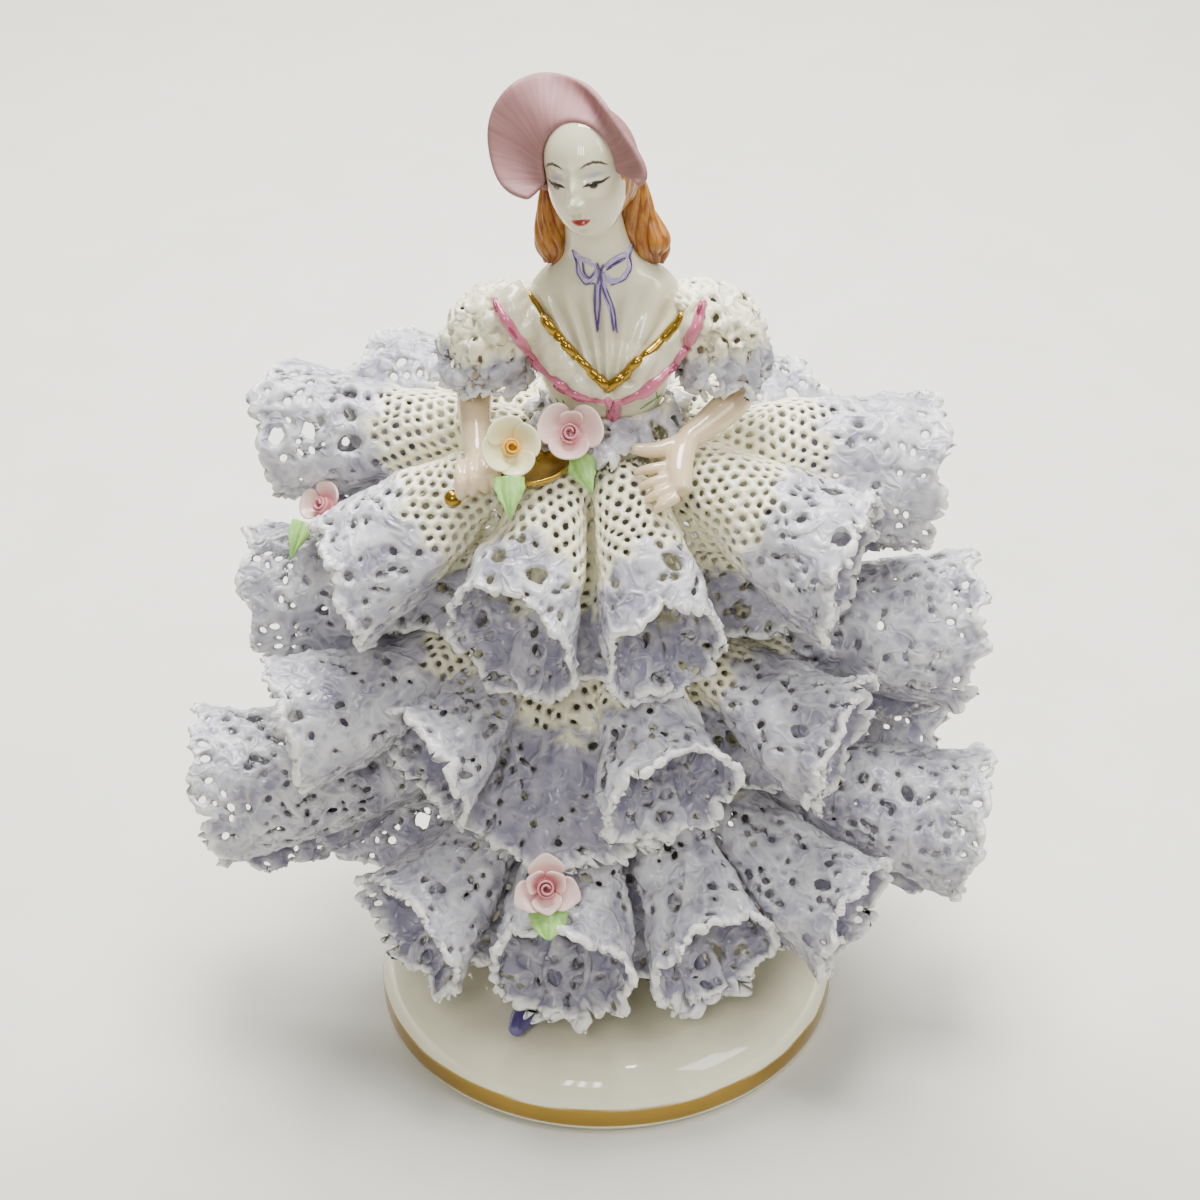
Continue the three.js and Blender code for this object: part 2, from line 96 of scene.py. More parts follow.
def settle(piece, replaces=()):
    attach(piece, "root")
    if replaces:
        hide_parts(*replaces)
    return piece


view = {"pitch": 33, "distance": 400, "aim": (0, 0, 65.4), "lens": 90.75, "roll": -1}


def placeCamera():
    pitch, roll = math.radians(view["pitch"]), math.radians(view["roll"])
    ahead = Vector((0, math.cos(pitch), -math.sin(pitch)))
    level = Vector((1, 0, 0))
    top = level.cross(ahead)
    right = level * math.cos(roll) + top * math.sin(roll)
    up = top * math.cos(roll) - level * math.sin(roll)
    place = Vector(view["aim"]) - ahead * view["distance"]
    camera = bpy.data.objects.new("camera", bpy.data.cameras.new("camera"))
    camera.data.lens = view["lens"]
    camera.data.sensor_width = 36
    camera.data.clip_start = 0.01
    turn = Matrix((right, up, -ahead)).transposed().to_4x4()
    camera.matrix_world = Matrix.Translation(place * mm) @ turn
    scene.collection.objects.link(camera)
    scene.camera = camera


placeCamera()

studio = {
    "sky": (0.92, 0.895, 0.82),
    "skyStrength": 0.315,
    "floor": (0.80, 0.79, 0.71),
    "floorPaintedShade": (-0.07, 0.02, 0.79, 1),  # painted shade, the floor darker towards its front edge: from the front edge to the middle, places, then brightness
    "lamps": [
        # place, aim, width, height, watts
        ((-20, 350, 450), (0, 160, 10), 460, 240, 5.0),
        ((10, 40, 540), (0, 0, 60), 210, 180, 4.6),
        ((300, -160, 360), (0, 0, 60), 200, 200, 0.9),
        ((-150, -390, 380), (0, 0, 60), 26, 150, 0.26),
        ((-95, -400, 380), (0, 0, 60), 26, 150, 0.26),
        ((-40, -400, 380), (0, 0, 60), 26, 150, 0.26),
    ],
}


def newMaterial(name):
    material = bpy.data.materials.new(name)
    material.use_nodes = True
    return material, material.node_tree.nodes["Principled BSDF"]


def setInputs(material, node, inputs):
    # Each input takes a number, a colour or what another node gives.
    for key, value in inputs.items():
        socket = node.inputs[key]
        if isinstance(value, bpy.types.NodeSocket):
            material.node_tree.links.new(value, socket)
        else:
            socket.default_value = (*value, 1) if isinstance(value, tuple) else value


def addNode(material, kind, output, inputs, **traits):
    # A new node. What it gives is returned, to be fed to others.
    node = material.node_tree.nodes.new("ShaderNode" + kind)
    for key, value in traits.items():
        setattr(node, key, value)
    setInputs(material, node, inputs)
    return node.outputs[output]


def mixedColour(material, factor, a, b, blend="MIX"):
    return addNode(material, "Mix", "Result", {"Factor": factor, "A": a, "B": b}, data_type="RGBA", blend_type=blend)


def multiplied(material, a, b):
    return addNode(material, "Math", "Value", {0: a, 1: b}, operation="MULTIPLY")


def attributeOf(material, name):
    return addNode(material, "Attribute", "Fac", {}, attribute_name=name)


def makeStudio():
    world = bpy.data.worlds.new("studio")
    world.use_nodes = True
    sky = world.node_tree.nodes["Background"]
    sky.inputs["Color"].default_value = (*studio["sky"], 1)
    sky.inputs["Strength"].default_value = studio["skyStrength"]
    scene.world = world
    for place, aim, width, height, watts in studio["lamps"]:
        light = bpy.data.lights.new("lamp", "AREA")
        light.shape = "RECTANGLE"
        light.size, light.size_y = width * mm, height * mm
        light.energy = watts
        lamp = bpy.data.objects.new("lamp", light)
        lamp.location = Vector(place) * mm
        lamp.rotation_euler = (Vector(aim) - Vector(place)).to_track_quat("-Z", "Y").to_euler()
        scene.collection.objects.link(lamp)
    bpy.ops.mesh.primitive_plane_add(size=6, location=(0, 0, 0))
    floor = bpy.context.object
    floor.name = "floor"
    paper, shader = newMaterial("pale paper")
    place = addNode(paper, "TexCoord", "Object", {})
    grain = addNode(paper, "TexNoise", "Fac", {"Vector": place, "Scale": 60, "Detail": 6})
    tone = addNode(paper, "MapRange", "Result", {"Value": grain, "To Min": 0.93, "To Max": 1.05})
    # painted shade: the floor's colour darkens towards its front edge, standing in for the lamps' falloff and the
    # shadow in front of the base
    depth = addNode(paper, "SeparateXYZ", "Y", {"Vector": place})
    limits = dict(zip(("From Min", "From Max", "To Min", "To Max"), studio["floorPaintedShade"]))
    fade = addNode(paper, "MapRange", "Result", {"Value": depth, **limits}, interpolation_type="SMOOTHSTEP")
    colour = mixedColour(paper, 1, studio["floor"], multiplied(paper, tone, fade), "MULTIPLY")
    setInputs(paper, shader, {"Base Color": colour, "Roughness": 0.75})
    floor.data.materials.append(paper)


makeStudio()
print("camera, floor and lamps placed")


# the deep cream and deep lavender are painted shade for pits, valleys and the inner side; deep lavender also tints
# random patches
laceLook = {
    "cream": (0.97, 0.93, 0.64),
    "creamShade": (0.37, 0.335, 0.24),
    "lavender": (0.56, 0.55, 0.61),
    "deepLavenderAndShade": (0.215, 0.20, 0.29),
    "rim": (0.89, 0.88, 0.84),
    "roughness": 0.22,
}


def laceMaterial():
    material, shader = newMaterial("fired lace")
    place = addNode(material, "TexCoord", "Object", {})

    def noise(scale, detail, distortion=0):
        inputs = {"Vector": place, "Scale": scale, "Detail": detail, "Distortion": distortion}
        return addNode(material, "TexNoise", "Fac", inputs)

    def worms(scale, width):
        # worm-like ridges of slip, their tops given a painted highlight below: the lines along which a slow noise
        # passes its middle
        gap = addNode(material, "Math", "Value", {0: noise(scale, 1, 0.4), 1: 0.5}, operation="SUBTRACT")
        gap = addNode(material, "Math", "Value", {0: gap}, operation="ABSOLUTE")
        inputs = {"Value": gap, "From Min": width, "From Max": 0}
        return addNode(material, "MapRange", "Result", inputs, interpolation_type="SMOOTHSTEP")

    def shaded(colour, deep, shares):
        # painted shade: the deeper colour in pits, in valleys and on the sheet's inner side, where shade falls
        for name, share in shares:
            colour = mixedColour(material, multiplied(material, attributeOf(material, name), share), colour, deep)
        return colour

    patches = addNode(material, "MapRange", "Result", {"Value": noise(170, 4), "From Min": 0.38, "From Max": 0.68})
    fine = multiplied(material, worms(430, 0.12), 0.6)
    crest = addNode(material, "Math", "Value", {0: worms(240, 0.12), 1: fine}, operation="MAXIMUM")
    lavender = mixedColour(material, patches, laceLook["lavender"], laceLook["deepLavenderAndShade"])
    # painted highlight: the ridges' crests are mixed towards the pale rim colour
    lavender = mixedColour(material, multiplied(material, crest, 0.34), lavender, laceLook["rim"])
    # painted shade laid into pits, valleys and the inner side of both zones
    lavender = shaded(lavender, laceLook["deepLavenderAndShade"], [("pit", 0.75), ("valley", 0.7), ("within", 0.85)])
    cream = shaded(laceLook["cream"], laceLook["creamShade"], [("valley", 0.14), ("pit", 0.7), ("within", 0.8)])
    colour = mixedColour(material, attributeOf(material, "lavender"), cream, lavender)
    colour = mixedColour(material, attributeOf(material, "rim"), colour, laceLook["rim"])
    grain = addNode(material, "Bump", "Normal", {"Height": noise(900, 5), "Strength": 0.3, "Distance": 0.0002})
    height = multiplied(material, crest, attributeOf(material, "slip"))
    raised = {"Height": height, "Normal": grain, "Strength": 0.6, "Distance": 0.0004}
    normal = addNode(material, "Bump", "Normal", raised)
    setInputs(material, shader, {"Base Color": colour, "Roughness": laceLook["roughness"], "Normal": normal})
    return material


firedLace = laceMaterial()


skirt = {"waistHeight": 92, "waistRadius": 6.6, "flare": 0.145, "gap": 0.35, "solidLace": 1.2, "sag": 4.6}
# Each flute is a rolled tube of lace: azimuth, reach, crest height, lip height, half width.
flounces = {
    "flounce_top": {
        "seam": 90.6, "hang": 0.15, "net": 0.56, "seed": 11,
        "flutes": [
            (-30, 25.5, 80, 61.5, 8.8), (20, 25.5, 78, 61.5, 7.6), (70, 37, 85, 66.5, 10.2),
            (102, 46.5, 88.5, 68.5, 10), (133, 37, 87.5, 69.5, 9), (165, 29.5, 83, 66, 8),
            (197, 30, 83, 66, 8), (229, 39, 92.5, 73.5, 9.2), (250, 46.5, 92, 75, 9), (284, 38, 81.5, 65.5, 9.2),
        ],
    },
    "flounce_middle": {
        "seam": 64.4, "hang": 1.1, "net": 0.34, "seed": 22,
        "flutes": [
            (-56, 31.5, 58.5, 41.5, 9.8), (19, 29.5, 58.5, 41.5, 9.2), (64, 38, 60, 42.5, 10),
            (97, 52, 66, 45, 10), (129, 41, 64.5, 45.5, 9.4), (162, 34.5, 61, 44, 9.2),
            (196, 34.5, 61, 44, 9.2), (229, 41, 66, 47, 9.2), (257, 49, 70, 50.5, 9.4), (284, 46, 62, 44, 9.2),
        ],
    },
    "flounce_bottom": {
        "seam": 44.4, "hang": 1, "net": 0.22, "seed": 33,
        "flutes": [
            (-53, 36.5, 33.5, 16, 10.2), (-12, 32.5, 34, 14.5, 9.8), (29, 33, 33, 15, 9.2),
            (59, 42, 35, 17.5, 8.8), (85, 53.8, 40.6, 20.2, 9.8), (110, 50, 42.5, 24, 8.8), (139, 42, 38, 21, 9.2),
            (171, 36.6, 36, 18, 9.4), (204, 37.4, 36, 18, 9.4), (237, 46, 42, 23, 9.4), (270, 56.7, 46.5, 25, 10.2),
        ],
    },
}


def underskirtRadius(z):
    return skirt["waistRadius"] + skirt["flare"] * (skirt["waistHeight"] - z)


def seamRadiusOf(flounce):
    # of the gathered edge, in the middle of the sheet's thickness
    return underskirtRadius(flounce["seam"]) + skirt["gap"] + skirt["solidLace"] / 2 + 0.25


def fluteGrid(flounce, k, rows=49, across=121):
    # Points of one flute's sheet, from valley to valley, on a grid of (share out, share across).
    flutes = flounce["flutes"]
    count = len(flutes)
    azimuth, reach, crest, lip, halfWidth = flutes[k]
    before, after = flutes[k - 1], flutes[(k + 1) % count]
    gapAfter = (after[0] - azimuth) % 360
    gapBefore = (azimuth - before[0]) % 360
    seamRadius = seamRadiusOf(flounce)
    t = np.linspace(0, 1, rows)[:, None]

    def bend(a, b, c):
        return (1 - t) ** 2 * a + 2 * t * (1 - t) * b + t ** 2 * c

    def between(a, b, share):
        return a + (b - a) * share

    seam = flounce["seam"]
    seamWidth = 0.42 * math.radians(min(gapAfter, gapBefore)) * seamRadius
    control = seamRadius + 0.42 * (reach - seamRadius)
    crestR = bend(seamRadius + 0.8, control + 1, reach)
    crestZ = bend(seam + 0.8, between(seam + 1.5, crest, flounce["hang"]), crest)
    floorR = bend(seamRadius, seamRadius + 0.3 * (reach - seamRadius), reach - 4)
    floorZ = bend(seam - 0.8, between(seam, lip, 0.62), lip)
    width = between(seamWidth, halfWidth, t ** 0.8)
    share = np.linspace(-1, 1, 61)[None, :]
    angle = np.radians(share * between(80, 167, smooth(t / 0.62)))
    high = np.cos(angle)
    roll = outward(azimuth) * ((crestR * (1 + high) + floorR * (1 - high)) / 2)[..., None]
    roll = roll + sideways(azimuth) * (width * np.sin(angle))[..., None]
    roll[..., 2] = (crestZ * (1 + high) + floorZ * (1 - high)) / 2

    def valley(gap, middle, other):
        depth = between(0.66, 0.9, float(smooth((gap - 34) / 40)))
        inner = (min(reach, other[1]) - 4) * depth
        # a wide valley hangs further out and down
        sag = skirt["sag"] * float(smooth((gap - 55) / 15))
        line = outward(middle) * between(seamRadius, max(inner, seamRadius + 4) + sag, t)
        line[:, 2] = between(seam - 1.2, (lip + other[3]) / 2 + 0.8 - sag, t[:, 0])
        return line

    left = valley(gapBefore, azimuth - gapBefore / 2, before)
    right = valley(gapAfter, azimuth + gapAfter / 2, after)

    def linkTo(edge, inner, line):
        # a smooth bend from the end of the roll to the valley between two flutes
        leave = unit(edge - inner)
        span = np.linalg.norm(line - edge, axis=-1, keepdims=True)
        handle = edge + leave * span * 0.5
        s = np.linspace(0, 1, 13)[None, :, None]
        return (1 - s) ** 2 * edge[:, None] + 2 * s * (1 - s) * handle[:, None] + s ** 2 * line[:, None]

    toLeft = linkTo(roll[:, 0], roll[:, 1], left)[:, :0:-1]
    toRight = linkTo(roll[:, -1], roll[:, -2], right)[:, 1:]
    sheet = np.concatenate([toLeft, roll, toRight], 1)
    # even spacing by arc length to either side of the crest
    middle = toLeft.shape[1] + 30
    even = np.zeros((rows, across, 3))
    halves = np.zeros((rows, 2))
    half = across // 2
    for j in range(rows):
        length = arcLength(sheet[j])
        length -= length[middle]
        halves[j] = -length[0], length[-1]
        wanted = np.concatenate([np.linspace(length[0], 0, half + 1), np.linspace(0, length[-1], half + 1)[1:]])
        for axis in range(3):
            even[j, :, axis] = np.interp(wanted, length, sheet[j, :, axis])
    return even, halves, arcLength(even[:, half])


lace = {
    "pitch": 1.65,  # between the net's holes
    "hole": 0.385,  # radius
    "crowd": 0.8,  # nearest two holes may be, in pitches
    "thick": 0.34,  # half the thickness of a cord
    "cord": 0.4,  # from a rim to the middle of a cord
    "bead": 0.22,  # how much thicker the hem is
    "step": 0.8,  # between points along a border
    "fine": 0.68,  # between points where slip has filled the net
    "rows": 0.866,  # between rows of holes, in pitches
    "pit": 0.62,  # radius of the dent that a closed hole leaves
    "pitDepth": 0.26,
    "largeCount": (5, 10),  # from and below: torn holes in one flute's border
    "largeRadii": [0.75, 0.9, 1.1, 1.35],
    "largeShares": [0.35, 0.3, 0.23, 0.12],
    "swell": (8, 0.3),  # slow waves all over a sheet: length, height
    "flutter": (4.6, 0.36, 5),  # quicker ones by the hem, and how far from it they start
    "curl": (0.7, 2.6),  # how far the hem turns over, and from where
    "worms": ((3, 30), (4.6, 31)),  # ridges of slip: size, seed
    "wormHeight": 0.2,
}
# how the fire leaves a sheet whose net is open, and one that slip has filled, and how much painted shade its valleys
# get (valleys)
fired = {
    "open": {"ripple": 3.4, "crumple": 0.14, "valleys": 1.0, "dents": 0.1, "slip": 0.0},
    "filled": {"ripple": 2.6, "crumple": 0.42, "valleys": 0.3, "dents": 0.5, "slip": 1.0},
}
# small tongues and notches along a ragged edge
ragged = {
    "width": (1.1, 2.7),
    "depth": (0.25, 0.95),
    "deeper": (0.3, 1),
    "deeperShare": 0.15,
    "tongueShare": 0.72,
}


def within(points, loop):
    x, y = points.T
    inside = np.zeros(len(points), bool)
    for (ax, ay), (bx, by) in zip(loop, np.roll(loop, -1, 0)):
        if ay != by:
            inside ^= ((ay > y) != (by > y)) & (x < (bx - ax) * (y - ay) / (by - ay) + ax)
    return inside


def hemLine(draw, left, right, leftEnd, rightEnd, top):
    # A ragged edge of small tongues and notches, from right to left.
    xs, ys = [], []
    x = right
    while x > -left:
        wide = min(draw.uniform(*ragged["width"]), x + left)
        deep = draw.uniform(*ragged["depth"])
        if draw.random() < ragged["deeperShare"]:
            deep += draw.uniform(*ragged["deeper"])
        tongue = draw.random() < ragged["tongueShare"]
        steps = max(3, int(round(wide / 0.4)))
        for i in range(steps):
            swell = math.sin(math.pi * i / steps) ** 0.6
            xs.append(x - wide * i / steps)
            ys.append(-deep * (1 - swell) if tongue else -0.8 * deep * swell)
        x -= wide
    xs.append(-left)
    ys.append(0)
    xs, ys = np.array(xs), np.array(ys)
    side = np.where(xs > 0, xs / right, -xs / left)
    end = np.where(xs > 0, rightEnd, leftEnd)
    base = top + (end - top) * side ** 6
    sway = 0.5 * np.sin(xs * 0.8 + draw.uniform(0, 6)) * (1 - side ** 4)
    fade = 1 - side ** 8
    return np.stack([xs, np.minimum(base + (ys + sway - 0.5) * fade, top)], 1)


# what is known of each point of the lace: how far slip has filled the net, the distance to the hem, how much it is
# a closed hole, the share of the way out, and the share of the way to a side border
panelFacts = ("lavender", "hem", "dimple", "out", "side")


def lacePanel(sheet, look, k, draw, borders):
    # One flat panel of lace, cut to the sheet's size and laid on it. Points beside a border are shared.
    grid, halves, out = sheet
    rows, across = grid.shape[:2]
    share = np.linspace(0, 1, rows)
    length = out[-1]
    (leftT, rightT) = borders

    def halfLeft(y):
        return np.interp(y, out, halves[:, 0])

    def halfRight(y):
        return np.interp(y, out, halves[:, 1])

    leftY, rightY = np.interp(leftT, share, out), np.interp(rightT, share, out)
    right = np.stack([halfRight(rightY), rightY], 1)
    left = np.stack([-halfLeft(leftY), leftY], 1)
    hem = hemLine(draw, halfLeft(leftY[-1]), halfRight(rightY[-1]), leftY[-1], rightY[-1], length - 0.05)
    seamCount = max(4, int((left[0, 0] * -1 + right[0, 0]) / lace["step"]))
    seam = np.stack([np.linspace(left[0, 0], right[0, 0], seamCount + 1)[1:-1], np.zeros(seamCount - 1)], 1)
    loop = np.concatenate([left[::-1], seam, right, hem[1:-1]])
    hemY = hem[np.argsort(hem[:, 0])]

    def lay(points):
        # from the flat panel to the sheet's place
        halfWidths = np.where(points[:, 0] > 0, halfRight(points[:, 1]), halfLeft(points[:, 1]))
        w = np.clip(points[:, 0] / halfWidths, -1, 1) * 0.5 + 0.5
        gi = np.clip(np.interp(points[:, 1], out, share) * (rows - 1), 0, rows - 1.0001)
        gj = np.clip(w * (across - 1), 0, across - 1.0001)
        i0, j0 = gi.astype(int), gj.astype(int)
        fi, fj = (gi - i0)[:, None], (gj - j0)[:, None]
        return (
            grid[i0, j0] * (1 - fi) * (1 - fj) + grid[i0 + 1, j0] * fi * (1 - fj)
            + grid[i0, j0 + 1] * (1 - fi) * fj + grid[i0 + 1, j0 + 1] * fi * fj
        )

    def stretchAt(points, step=0.3):
        # how the sheet stretches the panel: two columns in the sheet's own plane
        alongX = (lay(points + (step, 0)) - lay(points - (step, 0))) / (2 * step)
        alongY = (lay(points + (0, step)) - lay(points - (0, step))) / (2 * step)
        first = unit(alongX)
        part = (alongY * first).sum(-1)
        rest = np.linalg.norm(alongY - part[:, None] * first, axis=-1)
        return np.linalg.norm(alongX, axis=-1).clip(0.35, 3), part, rest.clip(0.2, 3)

    def room(points):
        # how far a point is from the panel's borders
        x, y = points[:, 0], points[:, 1]
        low = np.min([np.interp(x + dx, hemY[:, 0], hemY[:, 1]) for dx in (-0.5, 0, 0.5)], 0)
        return np.min([halfRight(y) - x, x + halfLeft(y), y, low - y], 0)

    # the lattice of holes
    rise = lace["pitch"] * lace["rows"]
    wide = max(halves.max(0)) + 3
    count = int(2 * wide / lace["pitch"]) + 2
    lines = int(length / rise) + 2
    row = np.arange(lines)[:, None]
    column = np.arange(count)[None, :]
    site = np.zeros((lines, count, 2))
    site[..., 0] = (column + 0.5 * (row % 2)) * lace["pitch"] - wide
    site[..., 1] = 0.9 + row * rise + 0 * column

    def lavenderAt(x, y):
        drift = 0.6 * np.sin(x * 0.5 + k) + 0.8 * np.sin(x * 1.3 + 2 * k)
        return smooth((y + drift - look["net"] * length) / 1.5 + 0.5)

    zone = lavenderAt(site[..., 0], site[..., 1])
    site += draw.normal(size=site.shape) * (0.03 + 0.2 * zone)[..., None]
    shift = (row % 2)[:, 0]
    mids = []
    for r in range(lines - 1):
        o = shift[r]
        here, above = site[r], site[r + 1]
        mids.append((here[:-1] + here[1:]) / 2)
        near = above[o:]
        n = min(len(here), len(near))
        mids.append((here[:n] + near[:n]) / 2)
        n2 = min(len(here) - 1, len(near))
        mids.append((here[:n2] + here[1:n2 + 1] + near[:n2]) / 3)
        n3 = min(len(here) - (1 - o), len(above) - 1)
        start = here[1 - o:]
        mids.append((start[:n3] + above[:n3]) / 2)
        mids.append((start[:n3] + above[:n3] + above[1:n3 + 1]) / 3)
    mids = np.concatenate(mids)

    order = np.lexsort((abs(site[..., 0]).ravel(), np.repeat(np.arange(lines), count)))
    sites, zones = site.reshape(-1, 2)[order], zone.reshape(-1)[order]
    near = room(sites) > 0
    sites, zones = sites[near], zones[near]
    spots = lay(sites)
    stretches = np.stack(stretchAt(sites), -1)
    # a few large holes in the border
    large = []
    wanted = int(draw.integers(*lace["largeCount"]))
    for _ in range(wanted * 12):
        y = draw.uniform(look["net"] * length + 2, max(length - 2.4, look["net"] * length + 2.1))
        x = draw.uniform(-0.9, 0.9) * halfLeft(y)
        r = draw.choice(lace["largeRadii"], p=lace["largeShares"])
        if room(np.array([[x, y]]))[0] < r + 0.7:
            continue
        if all(math.hypot(x - a, y - b) > r + s + 0.8 for a, b, s in large):
            large.append((x, y, r))
        if len(large) == wanted:
            break
    holes = []
    kept = np.ones(len(sites), bool)
    for x, y, r in large:
        kept &= np.hypot(sites[:, 0] - x, sites[:, 1] - y) > r + 0.95
    blind = []
    taken = {}
    gap = lace["pitch"] * lace["crowd"]

    def crowded(spot):
        cell = tuple((spot // gap).astype(int))
        for a in (-1, 0, 1):
            for b in (-1, 0, 1):
                for c in (-1, 0, 1):
                    for other in taken.get((cell[0] + a, cell[1] + b, cell[2] + c), ()):
                        if np.dot(spot - other, spot - other) < gap * gap:
                            return True
        taken.setdefault(cell, []).append(spot)
        return False

    for (x, y), z, ok, space, spot, stretch in zip(sites, zones, kept, room(sites), spots, stretches):
        if not ok or crowded(spot):
            continue
        opened = draw.random() < (look.get("open", 1) if z < 0.5 else 0.4)
        r = lace["hole"] * (1 + 0.05 * draw.normal()) if z < 0.5 else draw.uniform(0.28, 0.56)
        if opened and space > (r + 0.36) / min(1, stretch[2]):
            squash = 1 if z < 0.5 else draw.uniform(0.8, 1.25)
            holes.append((x, y, r, squash, draw.uniform(0, 3.1), 8 if r > 0.4 else 6, stretch))
        elif space > 0.35 and draw.random() < (0.45 if z > 0.5 else 1):
            blind.append((x, y))
    if large:
        flats = np.array([(x, y) for x, y, _ in large])
        for (x, y, r), stretch in zip(large, np.stack(stretchAt(flats), -1)):
            holes.append((x, y, r, draw.uniform(0.8, 1.25), draw.uniform(0, 3.1), 14, stretch))

    points = [loop]
    edges = [(i, (i + 1) % len(loop)) for i in range(len(loop))]
    ringOf = [-1] * len(loop)
    total = len(loop)
    crowns = []
    for number, (x, y, r, squash, turn, sides, (sx, shear, sy)) in enumerate(holes):
        a = np.arange(sides) * (2 * np.pi / sides)
        wobble = 1 + (0.03 if sides == 8 else 0.08) * draw.normal(size=sides)
        a1 = r * squash * wobble * np.cos(a)
        a2 = r / squash * wobble * np.sin(a)
        trueX = a1 * math.cos(turn) - a2 * math.sin(turn)
        trueY = a1 * math.sin(turn) + a2 * math.cos(turn)
        flatY = trueY / sy
        ring = np.stack([x + (trueX - shear * flatY) / sx, y + flatY], 1)
        points.append(ring)
        ringOf += [number] * sides
        edges += [(total + i, total + (i + 1) % sides) for i in range(sides)]
        total += sides
        if sides == 14:
            centre = np.array([x, y])
            crowns.append(centre + (ring - centre) * (1 + 0.42 / r))
    fine = lace["fine"]
    dots = np.stack(np.meshgrid(np.arange(-wide, wide, fine), np.arange(0.4, length, fine)), -1).reshape(-1, 2)
    dots += draw.uniform(-0.3, 0.3, dots.shape) * fine
    dots = dots[lavenderAt(dots[:, 0], dots[:, 1]) > (-1 if look.get("filled") else 0.4)]
    inner = [mids, dots, *crowns]
    loose = lavenderAt(mids[:, 0], mids[:, 1]) > 0.7
    if blind:
        inner.append(np.array(blind))
    # a line of points just inside the hem carries its bead
    along = np.gradient(hem, axis=0)
    inward = unit(np.stack([-along[:, 1], along[:, 0]], 1))
    inward[inward[:, 1] > 0] *= -1
    bead = hem + inward * 0.36
    inner.append(bead[2:-2])
    inner = np.concatenate(inner)
    loose = np.concatenate([loose, np.zeros(len(inner) - len(loose), bool)])
    roomy = room(inner) > 0.16
    inner, loose = inner[roomy], loose[roomy]
    tree = KDTree(len(holes))
    for i, spot in enumerate(lay(np.array([hole[:2] for hole in holes]))):
        tree.insert(spot, i)
    tree.balance()
    # points that fall into a hole or crowd one another are left out
    keep = []
    cells = set()
    for i, spot in enumerate(lay(inner)):
        key = tuple((spot / 0.3).astype(int))
        if key in cells:
            continue
        for _, j, distance in tree.find_n(spot, 3):
            if distance < holes[j][2] * max(holes[j][3], 1 / holes[j][3]) * 1.1 + 0.1:
                break
            if loose[i] and distance > holes[j][2] + 0.75:
                break
        else:
            cells.add(key)
            keep.append(i)
    inner = inner[keep]
    points.append(inner)
    ringOf += [-1] * len(inner)
    flat = np.concatenate(points)
    made = delaunay_2d_cdt([Vector(p) for p in flat], edges, [], 1, 1e-5, True)
    verts, faces, origins = made[0], made[2], made[3]
    newIds = {}
    ring = np.full(len(verts), -1)
    for i, origin in enumerate(origins):
        for o in origin:
            newIds[o] = i
            ring[i] = ringOf[o]
    tris = np.array([f for f in faces if len(f) == 3])
    a, b, c = ring[tris].T
    inHole = (a >= 0) & (a == b) & (a == c)
    tris = tris[~inHole]
    xy = np.array([(v.x, v.y) for v in verts])
    tris = tris[within(xy[tris].mean(1), loop)]

    place = lay(xy)
    t = np.interp(xy[:, 1], out, share)
    lavender = lavenderAt(xy[:, 0], xy[:, 1])
    toHem = np.interp(xy[:, 0], hemY[:, 0], hemY[:, 1]) - xy[:, 1]
    dimple = np.zeros(len(xy))
    if blind:
        pits = KDTree(len(blind))
        for i, (x, y) in enumerate(blind):
            pits.insert((x, y, 0), i)
        pits.balance()
        for i, (x, y) in enumerate(xy):
            distance = pits.find((x, y, 0))[2]
            if distance < lace["pit"]:
                dimple[i] = 1 - distance / lace["pit"]
    nLeft, nRight = len(left), len(right)
    leftIds = [newIds[nLeft - 1 - i] for i in range(nLeft)]
    rightStart = nLeft + len(seam)
    rightIds = [newIds[rightStart + i] for i in range(nRight)]
    return {
        "place": place, "tris": tris, "lavender": lavender, "hem": toHem, "dimple": dimple, "out": t,
        "side": np.abs(xy[:, 0]) / np.where(xy[:, 0] > 0, halfRight(xy[:, 1]), halfLeft(xy[:, 1])),
        "left": leftIds, "right": rightIds,
    }


def oneSheet(panels, closed):
    # All panels' points, triangles and facts. Neighbours share their borders if the panels close a round.
    starts = np.cumsum([0] + [len(panel["place"]) for panel in panels])
    same = np.arange(starts[-1])
    if closed:
        for k, panel in enumerate(panels):
            after = (k + 1) % len(panels)
            for a, b in zip(panel["right"], panels[after]["left"]):
                same[starts[after] + b] = starts[k] + a
    tris = same[np.concatenate([panel["tris"] + start for panel, start in zip(panels, starts)])]
    used, tris = np.unique(tris, return_inverse=True)
    place, *facts = (np.concatenate([panel[key] for panel in panels])[used] for key in ("place", *panelFacts))
    return place, tris.reshape(-1, 3), dict(zip(panelFacts, facts))


def laceRound(sheets, look):
    # Panels side by side round the figure, joined along their borders.
    draw = np.random.default_rng(look["seed"])
    valleys = []
    for grid, _, _ in sheets:
        long = np.linalg.norm(np.diff(grid[:, -1], axis=0), axis=1).sum()
        valleys.append(np.linspace(0, draw.uniform(0.93, 0.985), int(long / lace["step"]) + 1))
    panels = [lacePanel(sheet, look, k, draw, (valleys[k - 1], valleys[k])) for k, sheet in enumerate(sheets)]
    return oneSheet(panels, True)


def normalsOf(place, tris):
    cross = np.cross(place[tris[:, 1]] - place[tris[:, 0]], place[tris[:, 2]] - place[tris[:, 0]])
    total = np.zeros_like(place)
    for i in range(3):
        np.add.at(total, tris[:, i], cross)
    return unit(total)


def evened(place, tris):
    # Long thin triangles are turned into better ones.
    mesh = bpy.data.meshes.new("sheet")
    mesh.from_pydata(place.tolist(), [], tris.tolist())
    edit = bmesh.new()
    edit.from_mesh(mesh)
    bmesh.ops.beautify_fill(edit, faces=edit.faces[:], edges=edit.edges[:], use_restrict_tag=False, method="ANGLE")
    edit.verts.index_update()
    tris = np.array([[v.index for v in face.verts] for face in edit.faces])
    edit.free()
    bpy.data.meshes.remove(mesh)
    return tris


